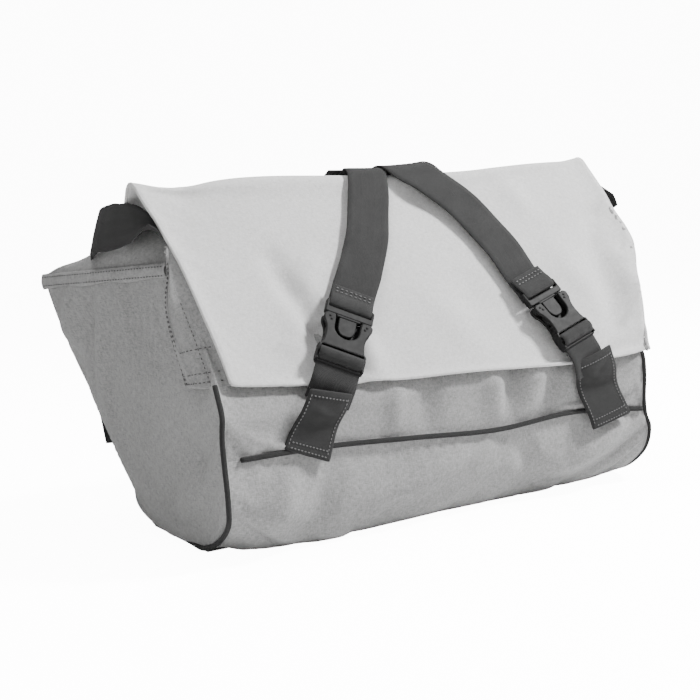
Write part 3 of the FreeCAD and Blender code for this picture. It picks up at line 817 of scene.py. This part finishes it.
def flap_low(x):
    """The lower edge drops towards the right."""
    return profile(np.array([(-210, 17), (-150, 10), (-55, 2), (6, -1), (70, -5), (125, -8),
                             (185, -8), (230, -9)]) * MM, x)


FLAP_CREASES = (
    (-0.132, 0.135, -0.116, 0.066, 0.011, -7), (-0.116, 0.072, -0.092, 0.016, 0.012, -8),
    (-0.096, 0.120, -0.140, 0.050, 0.015, 5), (-0.075, 0.066, -0.072, 0.012, 0.012, 5),
    (0.224, 0.140, 0.202, 0.030, 0.013, -5), (0.242, 0.095, 0.224, 0.015, 0.012, 8),
    (0.170, 0.120, 0.190, 0.060, 0.018, 3), (0.225, 0.152, 0.250, 0.160, 0.007, -4),
    (0.010, 0.080, 0.040, 0.020, 0.022, 2.5), (0.060, 0.110, 0.045, 0.050, 0.022, -2.5),
    (0.140, 0.205, 0.160, 0.160, 0.014, 2.5), (-0.205, 0.200, -0.185, 0.222, 0.016, -3),
    (-0.160, 0.260, -0.130, 0.330, 0.020, 3), (0.090, 0.270, 0.120, 0.340, 0.022, -3))


def flap_folds(x, s):
    """Broad soft folds of the flap, along its normal."""
    return (creases(x, s, FLAP_CREASES)
            + 1.6 * MM * np.sin(21 * x + 1) * np.sin(17 * s + 0.5))


def ridge_height(x):
    """The ridge rises and falls slightly along its length."""
    return profile([(-0.25, 5), (-0.2, 1), (-0.13, 3), (-0.02, 1), (0.06, -1), (0.12, -3),
                    (0.2, -1), (0.26, 0)], x) * MM


def flap_point(x, s, lift=0.0):
    """A point on the flap: x across, s up the slope, lift off its outer face."""
    y, z, heading = flap_line(s)
    out = 1.2 * flap_folds(x, s) + lift
    y, z = y - out * np.sin(heading), z + out * np.cos(heading)
    z = z + ridge_height(x) * np.exp(-((s - slope_length) / 0.035) ** 2)
    behind = step(slope_length, slope_length + 0.05, s) * step(0, 0.06, flap_length - s)
    z = z - 16 * MM * behind * step(0.16, 0.245, np.abs(x)) ** 2
    return np.stack([x, y, z], -1)


def flap_half(side, s):
    rows = LEFT_HALF if side == "left" else RIGHT_HALF
    return profile(np.array(rows) * MM, s)


def below_flap(points, gap):
    """Press points down until they clear the flap's slopes, where it covers them."""
    x, y, z = np.moveaxis(points, -1, 0)
    front = flap_edge[2] + (y - flap_edge[1]) * math.tan(rising)
    back = ridge[2] + (y - ridge[1]) * math.tan(falling)
    s = np.where(y < ridge[1], (y - flap_edge[1]) / math.cos(rising),
                 slope_length + (y - ridge[1]) / math.cos(falling))
    half = np.where(x < 0, flap_half("left", s), flap_half("right", s))
    covered = step(-0.008, 0.003, half - np.abs(x))
    excess = np.maximum(z - np.minimum(front, back) + gap, 0)
    return points - (covered * excess)[..., None] * np.array([0, 0, 1])


def flap_grid(u, v):
    """x and s on the flap at shares across (from the left) and up from the lower edge."""
    s = v * flap_length
    for _ in range(2):
        x = -flap_half("left", s) + u * (flap_half("left", s) + flap_half("right", s))
        s = flap_low(x) + v * (flap_length - flap_low(x))
    return x, s


def flap_cloth():
    u, v = grid(120, 100)
    x, s = flap_grid(u, v)
    points = flap_point(x, s)
    curl = step(0.03, 0, s - flap_low(x)) * step(0.19, 0.245, x)
    points = points + curl[..., None] * np.array([-2, 7, 3]) * MM
    points = crumple(points, rim_held(u, v), 0.012, 4 * MM, pressure=0.5)
    piece = shell("flap_cloth", points, FLAP_CLOTH, (0.49, flap_length), "flap")
    # the flap's paler canvas is painted light from above
    finish_as(piece, flap_canvas, "flap_panel")


# where across the flap its wings are sewn on, and how far up the slope they reach
WING_AT, WING_TIP = 0.22, 0.157


def wing_point(side, u, v):
    """A wing: u from the flap's edge to the wing's free edge, v from the bottom to its tip."""
    sign = SIGN[side]
    low, high = flap_low(sign * WING_AT) + 1 * MM, WING_TIP
    s = low + (high - low) * v
    half = flap_half(side, s)
    edge = flap_point(sign * (half - 1 * MM), s, -2 * MM)
    free_y = profile([(0, -52), (0.25, -47), (0.5, -44), (0.78, -40), (0.93, -36), (1, -34)], v) * MM
    free_z = profile([(0, 142), (0.25, 169), (0.5, 201), (0.78, 236), (0.93, 254), (1, 262)], v) * MM
    y = edge[..., 1] * (1 - u) + free_y * u
    z = edge[..., 2] * (1 - u) + free_z * u
    beside = end_x(y, z) - 2 * MM - 13 * MM * step(0.55, 1, v)
    settle = step(0, 0.5, u)
    bulge = 3 * MM * np.sin(np.pi * u) * (1 - 0.5 * v) + 1.2 * MM * np.sin(9 * v + 4 * u) * u
    x = sign * (np.abs(edge[..., 0]) * (1 - settle) + np.maximum(beside, 0) * settle + bulge)
    points = np.stack([x, y, z], -1)
    return points if side == "left" else below_flap(points, (4 + 16 * step(0, 0.3, u)) * MM)


def wings():
    u, v = grid(36, 60)
    for side in SIDES:
        share = 1 - u if side == "left" else u
        points = wing_point(side, share, v)
        points = crumple(points, rim_held(u, v), 0.008, 2 * MM)
        piece = shell(f"{side}_flap_wing_cloth", points, 2.4 * MM, (0.09, 0.15), f"{side}_wing")
        finish_as(piece, body_canvas, f"{side}_flap_wing")
        rows = []
        lift = np.array([SIGN[side], -0.3, 0])
        columns = [(0.93, 0.02, 0.9), (0.84, 0.02, 0.86)]
        columns += [(0.28, 0.02, 0.60)] if side == "left" else []
        for place, low, high in columns:
            line = np.linspace(low, high, 60)
            rows.append((wing_point(side, np.full(60, place), line) + lift * 1.3 * MM, lift))
        for height in (0.035, 0.10, 0.27):
            line = np.linspace(0.10 if side == "left" else 0.45, 0.95, 40)
            rows.append((wing_point(side, line, np.full(40, height)) + lift * 1.3 * MM, lift))
        finish_as(stitches(f"{side}_wing_stitches", rows, f"{side}_wing"), seam_thread)


def flap_welts():
    """The raised seam where each wing is sewn to the flap's edge."""
    for side in SIDES:
        sign = SIGN[side]
        s = np.linspace(flap_low(sign * WING_AT) + 2 * MM, 0.30, 90)
        half = flap_half(side, s)
        path = flap_point(sign * (half + 0.4 * MM), s, -1.6 * MM)
        # the welts share the flap's canvas and its painted light from above
        finish_as(tube(f"{side}_flap_welt", path, 1.7 * MM, "flap", sides=10), flap_canvas)


end_hems()
collars()
flap_cloth()
wings()
flap_welts()

# ---------------------------------------------------------------- closure straps

TAPE = 1.7 * MM
CLOSURE_WIDTH, SHOULDER_WIDTH = 40 * MM, 50 * MM
# the patch that sews both straps down behind the ridge
PATCH_LEFT, PATCH_WIDE, PATCH_FRONT, PATCH_DEEP = -0.036, 0.104, 0.239, 0.030
# centre lines on the flap, from the plug's bar up over the ridge: (x, s, lift)
STRAP_LINES = {
    "left": [(-84, 67, 2.2), (-69, 90, 2.0), (-53, 114, 1.6), (-36, 143, 1.4), (-21, 178, 1.4),
             (-10, 208, 1.4), (-5, 232, 1.6), (-4, 264, 1.8)],
    "right": [(119, 63, 2.2), (112, 86, 2.6), (104, 118, 2.2), (92, 148, 2.0), (74, 180, 3.2),
              (52, 203, 6.0), (34, 222, 4.6), (26, 240, 3.0), (22, 268, 3.6)],
}


def ribbon(path, sideways, width, columns=7):
    """Grid of points on a flat tape: one row for each point of its path."""
    shares = np.linspace(-0.5, 0.5, columns)
    return path[:, None, :] + shares[None, :, None] * width * sideways[:, None, :]


def tape_on_flap(line, width, rows=90, columns=9):
    """A tape that follows the flap's surface along a centre line."""
    x, s, lift = (along(np.array(line, float) * MM, np.linspace(0, 1, rows))).T
    heading = unit(np.column_stack([np.gradient(x), np.gradient(s)]))
    shares = np.linspace(-0.5, 0.5, columns)
    grid_x = x[:, None] + heading[:, 1:2] * shares * width
    grid_s = s[:, None] - heading[:, 0:1] * shares * width
    ripple = 0.5 * MM * np.sin(0.35 * np.arange(rows))[:, None] * (shares * 2) ** 2
    return flap_point(grid_x, grid_s, lift[:, None] + TAPE + ripple)


def closure_straps():
    for side in SIDES:
        points = tape_on_flap(STRAP_LINES[side], CLOSURE_WIDTH)
        piece = shell(f"{side}_closure_strap_tape", points, TAPE, (CLOSURE_WIDTH, 0.22))
        finish_as(piece, webbing_cloth, f"{side}_closure_strap")
        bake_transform(piece)
    u, v = grid(24, 9)
    x = PATCH_LEFT + PATCH_WIDE * u
    s = PATCH_FRONT + PATCH_DEEP * v
    patch = shell("closure_strap_patch_tape", flap_point(x, s, 7.2 * MM), TAPE,
                  (PATCH_WIDE, PATCH_DEEP), "flap")
    finish_as(patch, webbing_cloth, "closure_strap_patch")
    rows = []
    for place in (0.08, 0.92):
        line = np.linspace(0.03, 0.97, 30)
        s = np.full(30, PATCH_FRONT + PATCH_DEEP * place)
        rows.append((flap_point(PATCH_LEFT + PATCH_WIDE * line, s, 7.5 * MM), (0, 0.4, 0.9)))
    finish_as(stitches("patch_stitches", rows, "flap"), dark_thread)


closure_straps()

# ---------------------------------------------------------------- buckles

def rounded_outline(points, radius, steps=5):
    """A closed outline with its corners rounded."""
    points = np.array(points, float)
    result = []
    for before, here, after in zip(np.roll(points, 1, 0), points, np.roll(points, -1, 0)):
        nearest = min(np.linalg.norm(before - here), np.linalg.norm(after - here))
        reach = min(radius, nearest * 0.48)
        start, end = here + unit(before - here) * reach, here + unit(after - here) * reach
        for t in np.linspace(0, 1, steps):
            result.append((1 - t) ** 2 * start + 2 * t * (1 - t) * here + t * t * end)
    return np.array(result)


def plate(name, outline, holes, low, high, edge):
    """A flat plate with rounded edges, from its outline and the outlines of its holes."""
    curve = bpy.data.curves.new(name, "CURVE")
    curve.dimensions = "2D"
    curve.fill_mode = "BOTH"
    curve.extrude = (high - low) / 2 - edge
    curve.bevel_depth = edge
    curve.bevel_resolution = 2
    curve.offset = -edge
    for loop in [outline, *holes]:
        spline = curve.splines.new("POLY")
        spline.points.add(len(loop) - 1)
        for point, (x, y) in zip(spline.points, loop):
            point.co = (x, y, 0, 1)
        spline.use_cyclic_u = True
    holder = bpy.data.objects.new(name, curve)
    bpy.context.scene.collection.objects.link(holder)
    data = bpy.data.meshes.new_from_object(holder.evaluated_get(
        bpy.context.evaluated_depsgraph_get()))
    data.transform(Matrix.Translation((0, 0, (low + high) / 2)))
    bpy.data.objects.remove(holder)
    return data


def assembled(name, parts, matrix, body, angle=35):
    """One piece from several closed meshes, in the buckle's frame."""
    objects = []
    for data in parts:
        data.transform(matrix)
        holder = bpy.data.objects.new(name, data)
        bpy.context.scene.collection.objects.link(holder)
        objects.append(holder)
    with bpy.context.temp_override(active_object=objects[0], object=objects[0],
                                   selected_editable_objects=objects, selected_objects=objects):
        bpy.ops.object.join()
    piece = objects[0]
    piece.name = name
    piece.data.name = name
    piece.data.shade_smooth()
    piece.data.set_sharp_from_angle(angle=math.radians(angle))
    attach(piece, body)
    return finish_as(piece, buckle_plastic)


def both_halves(half):
    """A closed outline from its right half, listed from the bottom up."""
    return half + [(-x, y) for x, y in reversed(half)]


def scaled(points):
    return [(x * MM, y * MM) for x, y in points]


def block(name, points, radius, low, high, edge, steps=5):
    """A plate from the corners of its outline; all its measures are in mm."""
    outline = rounded_outline(scaled(points), radius * MM, steps)
    return plate(name, outline, [], low * MM, high * MM, edge * MM)


def bar_mesh(width, y, z, radius_y, radius_z, steps=20):
    """A rounded cross bar in the buckle's frame, with domed ends."""
    vertices = []
    half, chamfer = width / 2, 0.8 * MM
    stations = [(-half, 0.6), (-half + chamfer, 1), (half - chamfer, 1), (half, 0.6)]
    for x, fat in stations:
        for k in range(steps):
            angle = 2 * math.pi * k / steps
            vertices.append((x, y + radius_y * fat * math.cos(angle),
                             z + radius_z * fat * math.sin(angle)))
    faces = ring_faces(len(stations), steps)
    faces.append(list(range(steps - 1, -1, -1)))
    faces.append([(len(stations) - 1) * steps + k for k in range(steps)])
    data = bpy.data.meshes.new("bar")
    data.from_pydata(vertices, [], faces)
    return data


def socket(side):
    matrix = buckle_matrix(side)
    outer = rounded_outline(scaled(both_halves([
        (22, 0), (22.2, 13), (18.9, 21), (18.2, 30), (19.2, 37), (22.6, 43), (23, 48.5), (20.5, 51)])),
        5 * MM, steps=7)
    body = rounded_outline(scaled(both_halves([
        (21.8, 9), (22.0, 13), (18.7, 21), (18.0, 30), (19.0, 37), (22.4, 43), (22.8, 48.5),
        (20.3, 51)])), 4 * MM, steps=7)
    slots = [rounded_outline(scaled([(-20, low), (20, low), (20, high), (-20, high)]), 1 * MM)
             for low, high in ((3.2, 7.2), (13.2, 16.8))]
    parts = [plate("base", outer, slots, 0.2 * MM, 3.0 * MM, 0.9 * MM),
             plate("cover", body_with_notch(body), slots[1:], 7.0 * MM, 10.2 * MM, 1.1 * MM),
             block("root", both_halves([(21.4, 17.2), (18.6, 22), (17.2, 25)]), 1, 2.2, 7.9, 0.3)]
    for sign in (-1, 1):
        rail = [(sign * 16.4, 20), (sign * 18.2, 20), (sign * 17.6, 27), (sign * 16.4, 27)]
        horn = [(sign * 16.6, 41.5), (sign * 21.2, 43.5), (sign * 22.2, 48.5), (sign * 20, 50.4),
                (sign * 16.8, 50.4)]
        post = [(sign * 19.6, 1.5), (sign * 22, 1.5), (sign * 22, 18), (sign * 19.6, 18)]
        parts += [block("rail", rail, 0.5, 2.2, 7.9, 0.3), block("horn", horn, 1.5, 2.2, 7.9, 0.3),
                  block("post", post, 1, 1, 8.6, 0.8)]
        for y, x in ((46.8, 17.2), (43.9, 15.6)):
            parts.append(bar_dome(sign * x * MM, y * MM, 10.1 * MM, 1.3 * MM))
    parts.append(bar_mesh(41 * MM, 10.2 * MM, 6.6 * MM, 2.9 * MM, 2.6 * MM))
    parts.append(bar_mesh(42 * MM, 1.7 * MM, 4.6 * MM, 1.5 * MM, 2.4 * MM))
    piece = assembled(f"{side}_socket_shell", parts, matrix, f"{side}_socket")
    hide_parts(f"{side}_buckle_socket")


def body_with_notch(body):
    """The cover's outline with its thumb notch cut in from the mouth."""
    top = body[:, 1].max() - 0.3 * MM
    right = [p for p in body if p[0] > 0]
    left = [p for p in body if p[0] < 0]
    angles = np.linspace(0, math.pi, 15)
    arch = [(11.4 * MM * math.cos(a), 38.5 * MM - 10.2 * MM * math.sin(a)) for a in angles]
    return np.array([*right, (12.4 * MM, top), (11.6 * MM, top - 5 * MM), *arch,
                     (-11.6 * MM, top - 5 * MM), (-12.4 * MM, top), *left])


def bar_dome(x, y, z, radius, steps=12):
    """A small rounded bump."""
    vertices, faces = [(x, y, z + radius * 0.75)], []
    for level, fat in ((0.55, 0.6), (0.15, 0.95), (-0.6, 1.0)):
        for k in range(steps):
            angle = 2 * math.pi * k / steps
            vertices.append((x + radius * fat * math.cos(angle), y + radius * fat * math.sin(angle),
                             z + radius * level))
    for k in range(steps):
        after = (k + 1) % steps
        faces.append([0, 1 + k, 1 + after])
        for ring in range(2):
            a, b = 1 + ring * steps + k, 1 + ring * steps + after
            faces.append([a, a + steps, b + steps, b])
    faces.append([1 + 2 * steps + k for k in range(steps - 1, -1, -1)])
    data = bpy.data.meshes.new("bump")
    data.from_pydata(vertices, [], faces)
    return data


def plug(side):
    matrix = buckle_matrix(side)
    outer = rounded_outline(scaled([(-22.3, 52), (22.3, 52), (22.3, 67), (-22.3, 67)]), 2.4 * MM)
    window = rounded_outline(scaled([(-19.6, 58.6), (19.6, 58.6), (19.6, 65.2), (-19.6, 65.2)]), 1 * MM)
    tongue = both_halves([(4.5, 32.6), (8.2, 38), (8.4, 53)])
    flange = [(-11, 50.4), (11, 50.4), (12.5, 54), (-12.5, 54)]
    parts = [plate("frame", outer, [window], 2.0 * MM, 8.0 * MM, 1.1 * MM),
             block("tongue", tongue, 4.5, 3.0, 7.0, 1.0, steps=8),
             block("flange", flange, 1.2, 2.6, 7.6, 0.8),
             bar_mesh(40 * MM, 64.0 * MM, 4.9 * MM, 2.0 * MM, 1.6 * MM)]
    piece = assembled(f"{side}_plug_shell", parts, matrix, f"{side}_plug")
    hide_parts(f"{side}_buckle_plug")
    for hand, sign, body in (("left", -1, f"{side}_latch_a"), ("right", 1, f"{side}_latch_b")):
        arm = [(sign * x, y) for x, y in ((11.8, 51.6), (15.6, 51.6), (15.6, 41), (18.0, 38.5),
                                          (18.0, 30.5), (13.8, 26.2), (11.9, 28))]
        data = block("arm", arm, 2.2, 3.0, 7.0, 0.7)
        piece = assembled(f"{side}_{hand}_latch_arm", [data], matrix, body)
        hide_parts(f"{side}_buckle_{hand}_prong")


def in_frame(matrix, points):
    rotation = np.array(matrix.to_3x3())
    return points @ rotation.T + np.array(matrix.translation)


def tape_in_buckle(name, matrix, line, width, rows, length, body=None):
    """Webbing that follows a line of (y, z) in the buckle's frame; a negative width turns it over."""
    points = np.zeros((rows, 9, 3))
    points[..., 0] = np.linspace(-0.5, 0.5, 9)[None, :] * width
    points[..., 1:] = along(np.array(line) * MM, np.linspace(0, 1, rows))[:, None, :]
    return shell(name, in_frame(matrix, points), TAPE, (CLOSURE_WIDTH, length), body)


def strap_loop(side):
    """The strap's end, folded round the bar and stitched back on the strap."""
    matrix = buckle_matrix(side)
    # (y, z) of the tape's outer face, from its sewn end over the top, round the bar and under
    line = [(84.5, 5.4), (76, 6.6), (70, 8.4), (65.2, 8.8), (61.2, 7.6), (60.2, 4.8), (61.6, 2.0),
            (66, 0.9), (72, 0.9)]
    piece = tape_in_buckle(f"{side}_strap_loop_tape", matrix, line, -38.6 * MM, 60, 0.05,
                           f"{side}_plug")
    finish_as(piece, webbing_cloth, f"{side}_strap_loop")
    across_x = np.linspace(-17.5, 17.5, 30) * MM
    rows = []
    for y, z in ((80.5, 6.5), (76.8, 7.0)):
        path = np.column_stack([across_x, np.full(30, y * MM), np.full(30, z * MM)])
        rows.append((in_frame(matrix, path), np.array(matrix.to_3x3())[:, 2]))
    finish_as(stitches(f"{side}_loop_stitches", rows, f"{side}_plug"), dark_thread)


def lower_webbing(side):
    """Webbing from the ladder down into the sleeve on the front of the tub."""
    matrix = buckle_matrix(side)
    line = [(14.8, 3.0), (13.6, 8.6), (10.2, 10.8), (6.2, 9.0), (3.5, 4.0), (-4, 2.2), (-14, -0.6),
            (-26, -10.5)]
    tape = tape_in_buckle(f"{side}_lower_webbing_tape", matrix, line, 39 * MM, 70, 0.06)
    finish_as(tape, webbing_cloth, f"{side}_lower_webbing")
    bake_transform(tape)


# corners on the front: (x, z) upper left, upper right, lower right, lower left
SLEEVES = {"left": [(-146, 138), (-108, 128), (-134, 76), (-172, 92)],
           "right": [(128, 126), (170, 138), (190, 72), (146, 62)]}


def sleeve(side):
    """The cloth sleeve that holds the lower webbing, sewn over the seam piping."""
    u, v = grid(26, 34)
    top_left, top_right, low_right, low_left = np.array(SLEEVES[side], float) * MM
    flat = ((low_left * (1 - u[..., None]) + low_right * u[..., None]) * (1 - v[..., None])
            + (top_left * (1 - u[..., None]) + top_right * u[..., None]) * v[..., None])
    x, z = np.moveaxis(flat, -1, 0)
    stand = 10.5 * MM - 1.0 * MM * np.abs(2 * u - 1) ** 3
    puff = 2.2 * MM * step(0.45, 1.0, v) * np.sin(np.pi * u)
    crumples = (crease(x, z, flat[24, 4], flat[20, 18], 0.004, 1.4 * MM)
                + crease(x, z, flat[28, 20], flat[22, 8], 0.004, -1.2 * MM)
                + crease(x, z, flat[14, 3], flat[18, 22], 0.005, -0.9 * MM))
    y = front_y - stand - puff - crumples - 6 * MM * (step(0.10, 0.07, z) + step(0.100, 0.122, z))
    points = np.stack([x, y, z], -1)
    piece = shell(f"{side}_sleeve_cloth", points, 3.0 * MM, (0.046, 0.058), "sack")
    finish_as(piece, sleeve_cloth, f"{side}_anchor_sleeve")
    rows = []
    for place in (0.07, 0.93):
        column = int(place * 25)
        rows.append((points[2:-2, column] + np.array([0, -0.3, 0]) * MM, (0, -1, 0)))
    for place in (0.06, 0.13, 0.93):
        row = int(place * 33)
        rows.append((points[row, 2:-2] + np.array([0, -0.3, 0]) * MM, (0, -1, 0)))
    finish_as(stitches(f"{side}_sleeve_stitches", rows, "sack", pitch=3.2 * MM, length=2 * MM),
              dark_thread)


for side in SIDES:
    socket(side)
    plug(side)
    strap_loop(side)
    lower_webbing(side)
    sleeve(side)

# ---------------------------------------------------------------- shoulder strap

# the two long edges of the webbing over each collar, from its rear end to under the flap
ANCHORS = {
    "left": ([(-205, 151, 250), (-212, 126, 253), (-222, 104, 260), (-237, 86, 276),
              (-247, 73, 297), (-245, 48, 303), (-240, 24, 303), (-234, 2, 299),
              (-226, -14, 286), (-218, -28, 268)],
             [(-250, 151, 243), (-250, 126, 247), (-251, 104, 250), (-255, 86, 255),
              (-259, 70, 262), (-254, 48, 262), (-247, 26, 265), (-242, 6, 270),
              (-241, -12, 277), (-239, -27, 283)]),
    "right": ([(205, 151, 250), (212, 126, 253), (220, 104, 260), (230, 88, 276),
               (239, 73, 292), (246, 48, 298), (250, 24, 299), (256, 2, 296),
               (262, -14, 286), (269, -24, 277)],
              [(250, 151, 243), (250, 126, 247), (252, 104, 250), (256, 88, 254),
               (262, 70, 258), (264, 48, 258), (266, 26, 258), (270, 6, 258),
               (274, -12, 262), (276, -22, 266)]),
}


def anchors():
    """Shoulder webbing sewn over each storm collar."""
    u, v = grid(13, 110)
    for side in SIDES:
        upper, lower = [along(np.array(edge, float) * MM, v) for edge in ANCHORS[side]]
        share = u if side == "right" else 1 - u
        points = upper * (1 - share[..., None]) + lower * share[..., None]
        points[..., 0] += 1.2 * MM * np.sin(9 * v) * np.sin(np.pi * u)
        points = below_flap(points, 8 * MM)
        piece = shell(f"{side}_strap_anchor_tape", points, TAPE, (SHOULDER_WIDTH, 0.20), "sack")
        finish_as(piece, webbing_cloth, f"{side}_strap_anchor")
        sign = SIGN[side]
        lift = np.array([sign * 0.9, -0.1, 0.3])
        rows = [(points[44:84, column] + lift * 0.6 * MM, lift) for column in (3, 9)]
        finish_as(stitches(f"{side}_anchor_stitches", rows, "sack"), dark_thread)


def shoulder_strap():
    """It hangs behind the sack from both ends and folds in the middle."""
    strap_low, strap_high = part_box("shoulder_strap")
    y = strap_high.y - 0.4 * MM
    end = strap_high.x - 25 * MM
    top = strap_high.z
    low = strap_low.z
    line = np.array([(-end, top), (-end, top - 0.045), (-end + 0.006, top - 0.085),
                     (-end * 0.70, top - 0.130), (-end * 0.35, low + 0.052), (0, low + 0.026),
                     (end * 0.35, low + 0.052), (end * 0.70, top - 0.130),
                     (end - 0.006, top - 0.085), (end, top - 0.045), (end, top)])
    flat = along(line, np.linspace(0, 1, 200))
    heading = unit(np.gradient(flat, axis=0))
    sideways = np.column_stack([-heading[:, 1], np.zeros(200), heading[:, 0]])
    path = np.column_stack([flat[:, 0], np.full(200, y), flat[:, 1]])
    points = ribbon(path, sideways, SHOULDER_WIDTH, columns=13)
    rows, columns = points.shape[:2]
    shares = np.linspace(-1, 1, columns)[None, :]
    run = np.linspace(0, 1, rows)[:, None]
    turning = np.exp(-((run - 0.17) / 0.05) ** 2) + np.exp(-((run - 0.83) / 0.05) ** 2)
    middle = np.exp(-((run - 0.5) / 0.06) ** 2)
    points[..., 1] -= (2.5 * MM * (turning + middle) * (0.5 + 0.5 * np.sin(60 * run)) * np.abs(shares)
                       + 1.2 * MM * np.sin(25 * run))
    piece = shell("shoulder_strap_tape", points, TAPE, (SHOULDER_WIDTH, 0.75), "shoulder_strap")
    finish_as(piece, webbing_cloth, "shoulder_strap")


def slider_and_tail():
    low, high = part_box("shoulder_strap_slider")
    middle_x, middle_z, y = (low.x + high.x) / 2, (low.z + high.z) / 2, (low.y + high.y) / 2
    half_x, half_z = (high.x - low.x) / 2, (high.z - low.z) / 2
    outer = rounded_outline([(-half_x, -half_z), (half_x, -half_z), (half_x, half_z),
                             (-half_x, half_z)], 4 * MM)
    gap = half_x - 4 * MM
    holes = [rounded_outline([(-gap, a), (gap, a), (gap, b), (-gap, b)], 1.2 * MM)
             for a, b in ((2.8 * MM, half_z - 3.2 * MM), (-half_z + 3.2 * MM, -2.8 * MM))]
    data = plate("slider", outer, holes, -2.2 * MM, 2.2 * MM, 1.0 * MM)
    upright = Matrix.Translation((middle_x, y, middle_z)) @ Matrix.Rotation(math.pi / 2, 4, "X")
    piece = assembled("shoulder_slider_frame", [data], upright, "slider")
    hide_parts("shoulder_strap_slider")
    tail_low, tail_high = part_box("shoulder_strap_tail")
    top, bottom = tail_high.z, tail_low.z
    x_top, x_low = middle_x + 2 * MM, tail_low.x + 40 * MM
    line = np.array([(x_top, 2.2, top - 0.002), (x_top, 3.4, top - 0.02),
                     (x_top * 0.6 + x_low * 0.4, 2.0, top - 0.06),
                     (x_top * 0.25 + x_low * 0.75, 4.5, bottom + 0.04), (x_low, 2.6, bottom)])
    path = along(line, np.linspace(0, 1, 70))
    path[:, 1] = tail_low.y - 1.5 * MM + path[:, 1] * MM
    sideways = np.tile(np.array([-1.0, 0, 0.06]), (70, 1))
    tail = shell("shoulder_tail_tape", ribbon(path, unit(sideways), SHOULDER_WIDTH)[:, ::-1], TAPE,
                 (SHOULDER_WIDTH, 0.15), "slider")
    finish_as(tail, webbing_cloth, "shoulder_strap_tail")


anchors()
shoulder_strap()
slider_and_tail()
